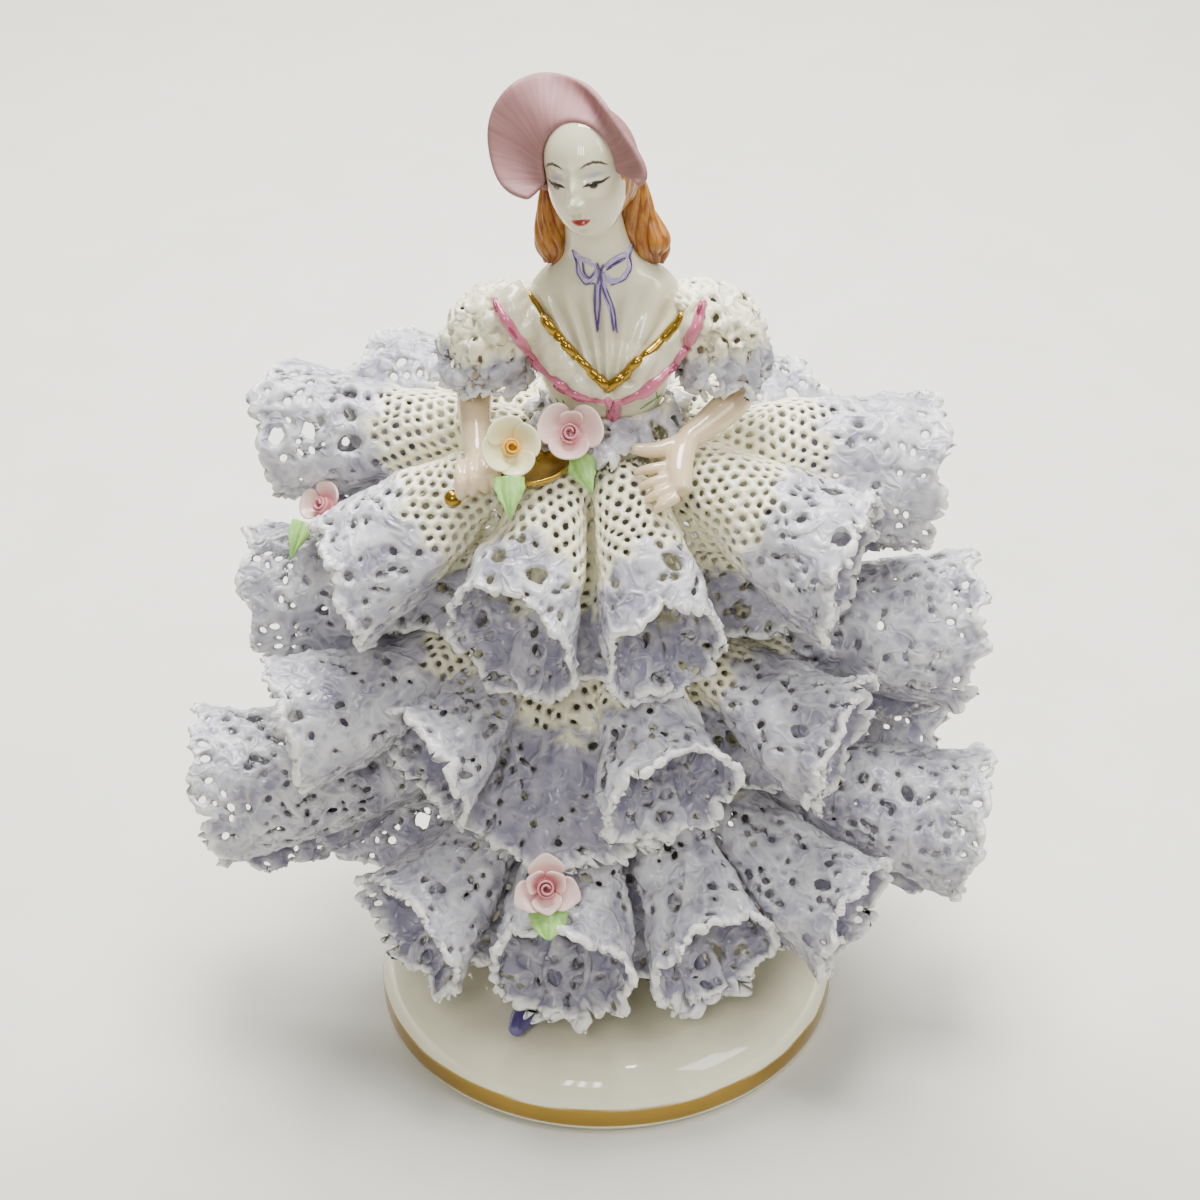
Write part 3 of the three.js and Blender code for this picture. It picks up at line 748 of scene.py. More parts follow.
def firedSheet(name, place, tris, facts, seed, replaces, kind="open"):
    # Rumples the sheet, gives its cords a round section and closes it at every rim.
    look = fired[kind]

    def rumpled(size, start):
        return np.stack([waves(place, size, seed + start + i) for i in range(3)], -1)

    free = smooth(facts["out"] / 0.35)[:, None]
    size, height = lace["swell"]
    swell = rumpled(size, 0) * height
    ripple = rumpled(look["ripple"], 5) * look["crumple"]
    size, height, reach = lace["flutter"]
    flutter = rumpled(size, 9) * height
    nearHem = np.clip(1 - facts["hem"] / reach, 0, 1)[:, None]
    place = place + free * (swell + ripple + flutter * nearHem * nearHem)
    tris = evened(place, tris)
    pairs = np.sort(np.concatenate([tris[:, [0, 1]], tris[:, [1, 2]], tris[:, [2, 0]]]), 1)
    keys, number = np.unique(pairs[:, 0] * len(place) + pairs[:, 1], return_counts=True)
    border = keys[number == 1]
    rim = np.zeros(len(place), bool)
    rim[border // len(place)] = True
    rim[border % len(place)] = True
    # a web whose corners are all on rims gets a point in its middle, to be as round as the rest
    webs = rim[tris].all(1)
    corners = tris[webs]
    added = len(place) + np.arange(len(corners))
    place = np.concatenate([place, place[corners].mean(1)])
    facts = {key: np.concatenate([value, value[corners].mean(1)]) for key, value in facts.items()}
    rim = np.concatenate([rim, np.zeros(len(corners), bool)])
    fans = [np.stack([corners[:, i], corners[:, (i + 1) % 3], added], 1) for i in range(3)]
    tris = np.concatenate([tris[~webs], *fans])
    free = smooth(facts["out"] / 0.35)[:, None]
    normal = -normalsOf(place, tris)
    height, reach = lace["curl"]
    curl = height * np.clip(1 - facts["hem"] / reach, 0, 1) ** 2 * (0.55 + 0.6 * waves(place, 9, seed + 15))
    place = place + normal * (curl * free[:, 0])[:, None]
    normal = -normalsOf(place, tris)
    tree = KDTree(int(rim.sum()))
    for i in np.nonzero(rim)[0]:
        tree.insert(place[i], int(i))
    tree.balance()
    away = np.zeros(len(place))
    for i in np.nonzero(~rim)[0]:
        away[i] = tree.find(place[i])[2]
    roundness = np.sqrt(np.clip(1 - (1 - np.clip(away / lace["cord"], 0, 1)) ** 2, 0, 1))
    bead = np.clip(1 - abs(facts["hem"] - 0.45) / 0.5, 0, 1)
    half = lace["thick"] * roundness * (1 + lace["bead"] / lace["thick"] * bead)
    half = half - lace["pitDepth"] * facts["dimple"] * (~rim)
    place = place - normal * (look["dents"] * facts["dimple"] * free[:, 0] * (~rim))[:, None]
    worm = sum(np.clip(1 - 2.4 * abs(waves(place, size, seed + n)), 0, 1) for size, n in lace["worms"])
    slip = np.maximum(facts["lavender"], look["slip"])
    half = half + lace["wormHeight"] * slip * worm * roundness
    upper = place + normal * half[:, None]
    lower = place - normal * half[:, None]
    inside = np.nonzero(~rim)[0]
    second = np.arange(len(place))
    second[inside] = len(place) + np.arange(len(inside))
    verts = np.concatenate([upper, lower[inside]])
    faces = np.concatenate([tris[:, ::-1], second[tris]])
    speckle = 0.4 * (1 - roundness) + 0.2 * waves(place, 2.5, seed + 20)
    paleness = np.clip(np.maximum(smooth((1.1 - facts["hem"]) / 0.5), speckle), 0, 1)
    # painted shade: the colour deepens towards a flute's valleys and in the dents of closed holes, where shade falls
    valley = smooth((facts["side"] - 0.5) / 0.42) * look["valleys"]
    pit = np.clip(1.3 * facts["dimple"], 0, 1) * smooth(facts["hem"] / 1.4)
    looks = {"lavender": facts["lavender"], "rim": paleness, "valley": valley, "pit": pit, "slip": slip}
    values = {key: np.concatenate([value, value[inside]]) for key, value in looks.items()}
    # painted shade on the sheet's inner side (within), away from its pale rims
    values["within"] = np.concatenate([0 * away, 1 - values["rim"][inside]])
    return pieceFrom(name, verts, faces, firedLace, values, replaces)


def floorSheet(flounce, k, rows=29, across=9):
    # A narrow strip that closes a flute's underside from within, along its middle.
    azimuth, reach, _, lip, halfWidth = flounce["flutes"][k]
    seamRadius = seamRadiusOf(flounce)
    t = np.linspace(0.3, 0.97, rows)
    seam = flounce["seam"]
    radius = (1 - t) ** 2 * seamRadius
    radius = radius + 2 * t * (1 - t) * (seamRadius + 0.3 * (reach - seamRadius)) + t ** 2 * (reach - 4)
    height = (1 - t) ** 2 * (seam - 0.8) + 2 * t * (1 - t) * (seam + (lip - seam) * 0.62) + t ** 2 * lip
    share = np.linspace(-1, 1, across)[None]
    half = halfWidth * 0.36 * (0.5 + 0.5 * t)[:, None]
    grid = outward(azimuth) * radius[:, None, None]
    grid = grid + sideways(azimuth) * (half * share)[..., None]
    grid[..., 2] = height[:, None] + 0.75 + 0.1 * half * share ** 2
    return grid, np.repeat(half, 2, 1), arcLength(grid[:, across // 2])


def makeFloors(name, flounce):
    look = {"net": 0.25, "open": 0.8, "seed": flounce["seed"] + 50}
    draw = np.random.default_rng(look["seed"])
    panels = []
    for k in range(len(flounce["flutes"])):
        sheet = floorSheet(flounce, k)
        border = np.linspace(0, 0.97, int(sheet[2][-1] / lace["step"]) + 1)
        panels.append(lacePanel(sheet, look, k, draw, (border, border)))
    place, tris, facts = oneSheet(panels, False)
    # the floors' middling valley share gives them painted shade inside the flutes
    facts["side"] = facts["side"] * 0 + 0.72
    firedSheet(name + "_floors", place, tris, facts, look["seed"], [])


def makeFlounces():
    for name, flounce in flounces.items():
        sheets = [fluteGrid(flounce, k) for k in range(len(flounce["flutes"]))]
        place, tris, facts = laceRound(sheets, flounce)
        piece = firedSheet(name + "_lace", place, tris, facts, flounce["seed"], [name])
        makeFloors(name, flounce)
        print(name, len(piece.data.polygons), "triangles of lace")


makeFlounces()


def clearSelection():
    if bpy.context.object and bpy.context.object.mode != "OBJECT":
        bpy.ops.object.mode_set(mode="OBJECT")
    bpy.ops.object.select_all(action="DESELECT")


def activate(*objects):
    clearSelection()
    for ob in objects:
        ob.select_set(True)
    bpy.context.view_layer.objects.active = objects[0]
    return objects[0]


def pointsOf(ob):
    flat = np.zeros(len(ob.data.vertices) * 3)
    ob.data.vertices.foreach_get("co", flat)
    return flat.reshape(-1, 3) / mm


def movePoints(ob, points):
    ob.data.vertices.foreach_set("co", (np.asarray(points) * mm).ravel())
    ob.data.update()


def applied(ob, kind, **settings):
    activate(ob)
    modifier = ob.modifiers.new(kind.lower(), kind)
    for key, value in settings.items():
        setattr(modifier, key, value)
    bpy.ops.object.modifier_apply(modifier=modifier.name)
    return ob


def subdivided(ob, levels):
    return applied(ob, "SUBSURF", levels=levels, render_levels=levels)


def paint(ob, **values):
    for key, value in values.items():
        layer = ob.data.attributes.new(key, "FLOAT", "POINT")
        layer.data.foreach_set("value", np.asarray(value, np.float32))


def finished(ob, name, material, replaces=()):
    activate(ob)
    bpy.ops.object.transform_apply(location=True, rotation=True, scale=True)
    ob.name = name
    ob.data.name = name
    ob.data.materials.clear()
    ob.data.materials.append(material)
    ob.data.shade_smooth()
    return settle(ob, replaces)


def joined(parts):
    ob = activate(*parts)
    if len(parts) > 1:
        bpy.ops.object.join()
    return ob


def closedUp(ob, merge=0):
    # Points nearer than "merge" (metres) become one, and all faces look outward.
    activate(ob)
    bpy.ops.object.mode_set(mode="EDIT")
    bpy.ops.mesh.select_all(action="SELECT")
    if merge:
        bpy.ops.mesh.remove_doubles(threshold=merge)
    bpy.ops.mesh.normals_make_consistent(inside=False)
    bpy.ops.object.mode_set(mode="OBJECT")
    return ob


def placed(ob, matrix):
    # moved by a matrix that is written in millimetres
    ob.matrix_world = Matrix.Scale(mm, 4) @ matrix @ Matrix.Scale(1 / mm, 4)


def flatGrid(across, down):
    # a flat grid and its points' places from -1 to 1
    clearSelection()
    bpy.ops.mesh.primitive_grid_add(x_subdivisions=across, y_subdivisions=down, size=2)
    ob = bpy.context.object
    u, v, _ = (pointsOf(ob) * mm).T
    return ob, u, v


def relax(rows):
    # one round of evening out, the borders held
    rows[1:-1] = (rows[:-2] + rows[1:-1] * 2 + rows[2:]) / 4
    rows[:, 1:-1] = (rows[:, :-2] + rows[:, 1:-1] * 2 + rows[:, 2:]) / 4


def ringStack(rings, sides):
    # A filled ring is extruded, moved and scaled from stop to stop: (height, x, y, half width, half depth).
    clearSelection()
    z, x, y, wide, deep = rings[0]
    bpy.ops.mesh.primitive_circle_add(vertices=sides, radius=mm, fill_type="NGON")
    ob = bpy.context.object
    bpy.ops.object.mode_set(mode="EDIT")
    bpy.ops.mesh.select_all(action="SELECT")
    bpy.ops.transform.resize(value=(wide, deep, 1), center_override=(0, 0, 0))
    bpy.ops.transform.translate(value=(x * mm, y * mm, z * mm))
    for nextZ, nextX, nextY, nextWide, nextDeep in rings[1:]:
        step = ((nextX - x) * mm, (nextY - y) * mm, (nextZ - z) * mm)
        bpy.ops.mesh.extrude_region_move(TRANSFORM_OT_translate={"value": step})
        middle = (nextX * mm, nextY * mm, nextZ * mm)
        bpy.ops.transform.resize(value=(nextWide / wide, nextDeep / deep, 1), center_override=middle)
        z, x, y, wide, deep = nextZ, nextX, nextY, nextWide, nextDeep
    bpy.ops.mesh.select_all(action="SELECT")
    bpy.ops.mesh.normals_make_consistent(inside=False)
    bpy.ops.object.mode_set(mode="OBJECT")
    return ob


def rod(stops, resolution=6, sides=3):
    # A round bar of changing thickness along a smooth line: (x, y, z, radius).
    curve = bpy.data.curves.new("rod", "CURVE")
    curve.dimensions = "3D"
    curve.bevel_depth = mm
    curve.bevel_resolution = sides
    curve.resolution_u = resolution
    curve.use_fill_caps = True
    spline = curve.splines.new("NURBS")
    spline.points.add(len(stops) - 1)
    for point, (x, y, z, radius) in zip(spline.points, stops):
        point.co = (x * mm, y * mm, z * mm, 1)
        point.radius = radius
    spline.order_u = 3
    spline.use_endpoint_u = True
    ob = bpy.data.objects.new("rod", curve)
    scene.collection.objects.link(ob)
    activate(ob)
    bpy.ops.object.convert(target="MESH")
    return closedUp(bpy.context.object, 0.00001)


def ball(place, radii, segments=24):
    clearSelection()
    bpy.ops.mesh.primitive_uv_sphere_add(segments=segments, ring_count=segments * 2 // 3, radius=mm)
    ob = bpy.context.object
    movePoints(ob, pointsOf(ob) * np.array(radii) + np.array(place))
    return ob


def fused(parts, voxel, rounds=3):
    # Parts joined into one skin, as one cast.
    ob = applied(joined(parts), "REMESH", mode="VOXEL", voxel_size=voxel * mm)
    return applied(ob, "SMOOTH", factor=0.5, iterations=rounds)


def tree(*objects):
    points, faces = [], []
    for ob in objects:
        start = len(points)
        points += [Vector(p) for p in pointsOf(ob)]
        faces += [tuple(v + start for v in f.vertices) for f in ob.data.polygons]
    return BVHTree.FromPolygons(points, faces)


def raysTo(pixels):
    # Unit vectors from the camera through the pixels of a 1200 x 1200 picture.
    turn = np.array(scene.camera.matrix_world.to_3x3())
    reach = view["lens"] / 36 * 1200
    return [unit(turn @ np.array([(px - 600) / reach, (600 - py) / reach, -1])) for px, py in pixels]


def eyePlace():
    return np.array(scene.camera.matrix_world.translation) / mm


def onCast(pixels, cast):
    # Points of the picture carried along the camera's rays to the cast: (place, normal).
    eye = Vector(scene.camera.matrix_world.translation) / mm
    hits = [cast.ray_cast(eye, Vector(way)) for way in raysTo(pixels)]
    return [(np.array(hit[0]), np.array(hit[1])) for hit in hits if hit[0] is not None]


def evenCount(pixels, count):
    # so many points at even distances along a line of the picture
    pixels = np.array(pixels, float)
    length = arcLength(pixels)
    wanted = np.linspace(0, length[-1], count)
    return np.stack([np.interp(wanted, length, pixels[:, i]) for i in range(2)], 1)


def evenly(pixels, step):
    return evenCount(pixels, max(3, int(arcLength(np.array(pixels, float))[-1] / step) + 1))


def turnBy(rz=0, rx=0, ry=0):
    return Matrix.Rotation(math.radians(rz), 4, "Z") @ Matrix.Rotation(math.radians(rx), 4, "X") @ \
        Matrix.Rotation(math.radians(ry), 4, "Y")


def glazeMaterial(name, colour, layers=(), roughness=0.1, mottle=0.04, metal=0, bumpDepth=0.00005, coat=0.5):
    # A clear glaze over porcelain. Each layer is (attribute, colour), painted over the ones before.
    material, shader = newMaterial(name)
    place = addNode(material, "TexCoord", "Object", {})
    cloud = addNode(material, "TexNoise", "Fac", {"Vector": place, "Scale": 260, "Detail": 5})
    limits = {"From Min": 0.3, "From Max": 0.7, "To Min": 1 - mottle, "To Max": 1 + mottle}
    spread = addNode(material, "MapRange", "Result", {"Value": cloud, **limits})
    for attribute, tone in layers:
        colour = mixedColour(material, attributeOf(material, attribute), colour, tone)
    bump = addNode(material, "Bump", "Normal", {"Height": cloud, "Strength": 0.3, "Distance": bumpDepth})
    setInputs(material, shader, {
        "Base Color": mixedColour(material, 1, colour, spread, "MULTIPLY"), "Normal": bump, "Roughness": roughness,
        "Metallic": metal, "Coat Weight": coat, "Coat Roughness": 0.04,
    })
    return material


paints = {
    # painted shade: the underskirt is dark so that the net's holes look dark; it stands for white porcelain in shade
    "underskirt": (0.30, 0.275, 0.22),
    # painted light and shade: porcelain (the base) and figure are one white porcelain, the base's painted lighter and
    # the figure's darker
    "porcelain": (0.93, 0.89, 0.65),
    "figure": (0.72, 0.675, 0.475),
    "skin": (0.80, 0.60, 0.35),
    "gold": (0.36, 0.215, 0.02),
    "rose": (0.53, 0.125, 0.205),
    "deepRose": (0.30, 0.025, 0.09),
    "bonnet": (0.345, 0.165, 0.16),
    "bonnetDark": (0.27, 0.125, 0.12),
    "hair": (0.49, 0.205, 0.02),
    "hairDark": (0.20, 0.055, 0.008),
    "ribbon": (0.085, 0.045, 0.19),
    "ribbonPale": (0.40, 0.34, 0.55),
    "brow": (0.03, 0.018, 0.015),
    "shade": (0.36, 0.41, 0.52),
    "lips": (0.36, 0.035, 0.025),
    "blush": (0.74, 0.42, 0.34),
    "pinkPetal": (0.86, 0.62, 0.56),
    "pinkHeart": (0.66, 0.26, 0.28),
    "yellowPetal": (0.86, 0.85, 0.52),
    "yellowHeart": (0.80, 0.42, 0.02),
    "leaf": (0.37, 0.68, 0.17),
    "leafDark": (0.10, 0.28, 0.06),
    "shoe": (0.085, 0.06, 0.22),
}
white = glazeMaterial("white glaze", paints["figure"], [("skin", paints["skin"]), ("blush", paints["blush"])])


base = {
    "rings": [
        (0, 30.9), (0.35, 31.3), (0.9, 31.7), (1.3, 31.8), (1.5, 31.95), (2.8, 32), (4.1, 31.95), (4.4, 31.8),
        (5.2, 31.6), (6.4, 31.1), (7.4, 30.4), (8.3, 29.3), (9, 28), (9.5, 26.4), (9.85, 24), (9.98, 21),
        (10, 16), (10, 6),
    ],
    "band": (1.35, 4.3),
}


def makeBase():
    ob = ringStack([(z, 0, 0, r, r) for z, r in base["rings"]], 128)
    subdivided(ob, 1)
    points = pointsOf(ob)
    z = points[:, 2]
    out = np.hypot(points[:, 0], points[:, 1])
    low, high = base["band"]
    wobble = 0.07 * waves(points, 9, 3)
    band = smooth((z - low - wobble) / 0.16 + 0.5) * smooth((high - z + wobble) / 0.16 + 0.5) * (out > 28)
    paint(ob, gold=band)
    worn = 0.05 * waves(points, 12, 5)
    points[:, 2] = np.where((z > 5) & (out > 12), z + worn * (z - 5) / 5, z)
    movePoints(ob, points)
    finished(ob, "base_drum", baseGlaze, ["base"])


def bandedGlaze():
    # the lighter porcelain white here is painted light on the base
    material = glazeMaterial("glaze with a gold band", paints["porcelain"], [("gold", paints["gold"])], 0.09)
    gold = attributeOf(material, "gold")
    dull = addNode(material, "MapRange", "Result", {"Value": gold, "To Min": 0.09, "To Max": 0.3})
    shader = material.node_tree.nodes["Principled BSDF"]
    setInputs(material, shader, {"Roughness": dull, "Metallic": multiplied(material, gold, 0.75)})
    return material


baseGlaze = bandedGlaze()
makeBase()
print("base made")


body = {
    "skirt": [
        (10.4, 0, 0, 18.4, 18.4), (30, 0, 0, 15.6, 15.5), (60, 0.2, 0, 11.2, 11), (84, 0.4, 0, 7.6, 7.2),
        (91.5, 1.1, 0.2, 6.2, 4.9),
    ],
    "torso": [
        (88, 0.8, 0.1, 6.6, 5.4), (90.5, 1, 0.2, 6.1, 4.9), (92.5, 1.1, 0.2, 6, 4.7), (95, 1.2, 0, 6.7, 5.1),
        (97.5, 1.3, -0.3, 7.6, 5.8), (100, 1.3, -0.6, 8.4, 6.3), (102.5, 1.3, -0.7, 9.1, 6.5),
        (105, 1.3, -0.6, 9.8, 6.1), (107.3, 1.3, -0.4, 10.2, 5.6), (109.3, 1.3, 0, 10.1, 5),
        (111, 1.3, 0.2, 9.7, 4.7), (112.4, 1.2, 0.2, 9, 4.5), (113.8, 1.1, 0.1, 7.9, 4.3),
        (115.2, 0.9, 0, 6.1, 4), (116.8, 0.7, -0.3, 4.3, 3.6), (120, 0.2, -0.8, 3.6, 3.3),
        (126, -0.5, -1.3, 3.4, 3.1),
    ],
    "chest": ((1.3, -3.6, 103.4), (7.6, 4.1, 4.6)),
    "goldLine": [
        (-11.4, 113), (-8.2, 110.1), (-4.3, 106.8), (-2.1, 105.2), (0, 103), (1.4, 101.1), (2.9, 102.9),
        (4.8, 105), (7.1, 106.4), (10.4, 109), (13, 112),
    ],
    "armLeft": [
        (10.2, 0.3, 109.6, 2.5), (13.4, 0.5, 106.6, 2.8), (16, 0.6, 102.5, 2.6), (17.6, 0.5, 98.8, 2.4),
        (18, -0.2, 96.8, 2.35), (17.2, -1.6, 95.8, 2.3), (14.6, -4, 94.8, 2), (12, -6.2, 93.9, 1.6),
        (11, -6.9, 93.6, 1.5),
    ],
    "armRight": [
        (-7.8, 0.3, 109.6, 2.5), (-10.8, 0.5, 106.6, 2.8), (-13.2, 0.9, 102.5, 2.6), (-14.8, 1.5, 98.8, 2.4),
        (-15.4, 1, 97, 2.35), (-15.5, -0.6, 95.9, 2.25), (-15.4, -3.4, 94.3, 2), (-15.1, -6.2, 92.8, 1.75),
        (-15, -7.8, 92.1, 1.6),
    ],
    "voxel": 0.23,
}


def handOpen():
    # her left hand on her lap, the fingers side by side and a little bent, the thumb away from them
    parts = [
        rod([(11.4, -6.6, 93.7, 1.5), (10.6, -8.4, 92.9, 1.7), (10.1, -10.4, 91.9, 1.8),
            (10.1, -12.4, 90.8, 1.7), (10.2, -13.8, 90, 1.3)], 5, 4),
        rod([(10.9, -7.2, 93.5, 1.3), (8.7, -8.3, 93.2, 1.2), (6.9, -8.9, 93.2, 1.02), (5.2, -9.2, 93.6, 0.88),
            (4.3, -9.3, 93.9, 0.55)], 5, 4),
    ]
    fingers = [
        ((9.4, -10.4, 91.9), (4.4, -11.2, 91.5)), ((9.3, -11.9, 91.2), (5, -13, 90.4)),
        ((9.5, -13.2, 90.5), (5.7, -14.4, 89.3)), ((9.8, -14.4, 89.8), (6.8, -15.5, 88.4)),
    ]
    for root, tip in fingers:
        root, tip = np.array(root), np.array(tip)
        knuckle = root + (tip - root) * 0.5 + (0, -0.45, 0.4)
        parts.append(rod([(*root, 0.82), (*knuckle, 0.74), (*(tip + (root - tip) * 0.14), 0.6), (*tip, 0.34)], 5, 4))
    return parts


def handClosed():
    # her right hand, the fingers curled round the handle
    parts = [ball((-14.6, -8.8, 91.6), (2.3, 2.2, 2))]
    for i in range(4):
        across = i / 3 - 0.5
        x, y, z = -14.7 + across * 4.5, -10.6 + across * 0.6, 91 + across * 1.1
        parts.append(rod([
            (x, y + 1.6, z + 1.7, 0.76), (x - 0.1, y - 0.4, z + 2.1, 0.8), (x - 0.2, y - 2.1, z + 1, 0.76),
            (x - 0.2, y - 2.1, z - 0.9, 0.7), (x, y - 0.8, z - 1.8, 0.5),
        ], 5, 4))
    parts.append(rod([(-12.4, -8.8, 92.6, 0.95), (-12.1, -10.6, 93.1, 0.85), (-13.1, -12.2, 92.9, 0.7),
        (-13.8, -12.9, 92.5, 0.4)], 5, 4))
    return parts


def pleats(points):
    # Folds fan out from the point of the bodice, above the drawn line.
    x, y, z = points.T
    front = smooth((-y - 0.6) / 2.2)
    gold = np.interp(x, *zip(*body["goldLine"]))
    angle = np.arctan2(x - 1.4, z - 98)
    away = np.hypot(x - 1.4, z - 98)
    fan = np.sin(angle * 30 + 2.2 * np.sin(angle * 4.3 + 1)) + 0.5 * np.sin(angle * 17 + 2)
    fan = fan * smooth((z - gold) / 1.2) * smooth((away - 2) / 5) * smooth((114.5 - z) / 4)
    return front * 0.36 * fan


def makeBody():
    parts = [ringStack(body["torso"], 40)]
    subdivided(parts[0], 1)
    parts.append(ball(*body["chest"], 40))
    parts += [rod(body["armLeft"], 5, 4), rod(body["armRight"], 5, 4), *handOpen(), *handClosed()]
    ob = fused(parts, body["voxel"], 3)
    points = pointsOf(ob)
    normals = np.array([v.normal for v in ob.data.vertices])
    points += normals * pleats(points)[:, None]
    movePoints(ob, points)
    x, y, z = points.T
    arms = np.maximum(smooth((abs(x - 1.3) - 9.6 + (z - 100) * 0.02) / 1.5) * (z < 104), (z < 95.5) * (y < -5.6))
    warm = 0.85 * np.clip(arms, 0, 1)
    blush = 0.16 * arms * np.clip(waves(points, 5, 8), 0, 1)
    paint(ob, skin=warm, blush=blush)
    finished(ob, "body_cast", white, ["figure"])
    cone = ringStack(body["skirt"], 64)
    subdivided(cone, 1)
    # the underskirt's dark colour is painted shade seen through the holes of the lace
    finished(cone, "underskirt_cast", glazeMaterial("underskirt, painted dark as shade", paints["underskirt"], [], 0.3), [])
    return ob


bodyCast = makeBody()
print("body made")


wraps = {
    "sleeve_left": {
        "net": 0.6, "open": 0.42, "filled": True, "seed": 41, "folds": [(9, 0.6, 0.05), (17, 2, 0.07), (26, 1, 0.04)],
        "stops": [
            (12.2, 0.5, 111.7, 0.25, 0.25), (14, 0.4, 109, 4.7, 4.5), (15.4, 0.3, 104.6, 5.7, 5.4),
            (15.9, 0.2, 101, 5.6, 5.2), (16.4, 0, 98, 4.9, 4.7),
        ],
    },
    "sleeve_right": {
        "net": 0.68, "open": 0.3, "filled": True, "seed": 42,
        "folds": [(8, 2.2, 0.05), (16, 0.4, 0.075), (27, 1, 0.04)],
        "stops": [
            (-9.9, 0.5, 111.7, 0.25, 0.25), (-11.7, 0.5, 109, 4.7, 4.6), (-13.2, 0.6, 104.6, 5.7, 5.4),
            (-13.7, 0.8, 101, 5.6, 5.2), (-14.1, 0.9, 98.2, 4.9, 4.7),
        ],
    },
    "waist_frill": {
        "net": 0.02, "filled": True, "seed": 43, "folds": [(6, 0.3, 0.1), (13, 1, 0.05)],
        "stops": [
            (1.2, -0.1, 96.2, 7.4, 5.7), (1.2, -0.1, 95.4, 7.9, 6.3), (1.2, -0.1, 94.4, 8.5, 7.3),
            (1.2, -0.1, 93, 9.3, 8.7), (1.2, -0.1, 91.4, 10, 10.2),
        ],
    },
}


def wrapSheet(wrap, rows=33, across=121):
    stops = np.array(wrap["stops"])
    t = np.linspace(0, 1, rows)
    share = np.linspace(0, 1, len(stops))
    x, y, z, wide, deep = (np.polyval(np.polyfit(share, stops[:, i], len(stops) - 1), t)[:, None] for i in range(5))
    angle = np.radians(np.linspace(-180, 180, across))[None]
    down = t[:, None]
    fold = 1 + sum(
        depth * down ** 0.6 * np.sin(count * angle + phase + 1.2 * down) for count, phase, depth in wrap["folds"]
    )
    grid = np.stack([x + wide * fold * np.sin(angle), y - deep * fold * np.cos(angle), z + 0 * angle], -1)
    halves = np.linalg.norm(np.diff(grid, axis=1), axis=-1).sum(1)[:, None] / 2 * np.ones((1, 2))
    return grid, halves, arcLength(grid[:, across // 4])


def makeWraps():
    for name, wrap in wraps.items():
        place, tris, facts = laceRound([wrapSheet(wrap)], wrap)
        piece = firedSheet(name + "_lace", place, tris, facts, wrap["seed"], [name], "filled")
        print(name, len(piece.data.polygons), "triangles of lace")


makeWraps()


head = {
    "place": Matrix.Translation((-0.3, -2.2, 129.7)) @ turnBy(-20, -4, -10) @ Matrix.Scale(1.04, 4),
    "skull": ((0, -0.3, 0.4), (5.15, 5.6, 6.3)),
    "jaw": ((0, -2.2, -3.4), (4.1, 3.9, 4.9)),
    "blend": 1.6,
    "middle": (0, -0.8, -0.4),
    # Soft forms on the face: across, height, width, tallness, how far out. Those beside the middle come in pairs.
    "forms": [
        (2.3, -0.3, 1.5, 1.1, -0.62), (2.3, -0.75, 0.95, 0.6, 0.5), (2.2, 1.05, 1.5, 0.5, 0.16),
        (0, 0.2, 0.6, 1.1, 0.25), (0, -1.4, 0.5, 1.1, 0.95), (0, -2.75, 0.58, 0.6, 1.3),
        (0.68, -3.1, 0.36, 0.32, 0.5), (0, -4.2, 0.25, 0.4, -0.1), (0.45, -4.78, 0.5, 0.22, 0.3),
        (0, -5.6, 0.75, 0.3, 0.42), (0, -5.2, 1.2, 0.1, -0.16), (1.45, -5.2, 0.3, 0.3, -0.14),
        (0, -6.35, 1.1, 0.35, -0.22), (0, -7.4, 1.3, 0.9, 0.5), (3, -3, 1.5, 1.4, 0.3),
    ],
    "eye": {
        "iris": (2.28, -0.98, 0.47),  # across, height, radius
        "lashHalf": 0.23,
        "lash": [(1.15, -1.08), (1.7, -0.9), (2.4, -0.82), (3.1, -0.86), (3.75, -0.62)],
        "lower": [(1.3, -1.12), (1.9, -1.42), (2.6, -1.44), (3.2, -1.02)],
    },
    "browHalf": 0.17,
    "mouth": -5.2,
    "cheek": (3.2, -2.7, 1.4, 1.2, 0.34),  # across, height, width, tallness, strength
    "brow": [(1.05, 1.05), (1.7, 1.4), (2.5, 1.55), (3.2, 1.35), (3.8, 0.85)],
}


def nearLine(x, z, line):
    # distance from points to a drawn line, and the share along it
    best = np.full(len(x), 1e9)
    along = np.zeros(len(x))
    for i in range(len(line) - 1):
        (ax, az), (bx, bz) = line[i], line[i + 1]
        dx, dz = bx - ax, bz - az
        t = np.clip(((x - ax) * dx + (z - az) * dz) / (dx * dx + dz * dz), 0, 1)
        d = np.hypot(x - ax - t * dx, z - az - t * dz)
        along = np.where(d < best, (i + t) / (len(line) - 1), along)
        best = np.minimum(best, d)
    return best, along


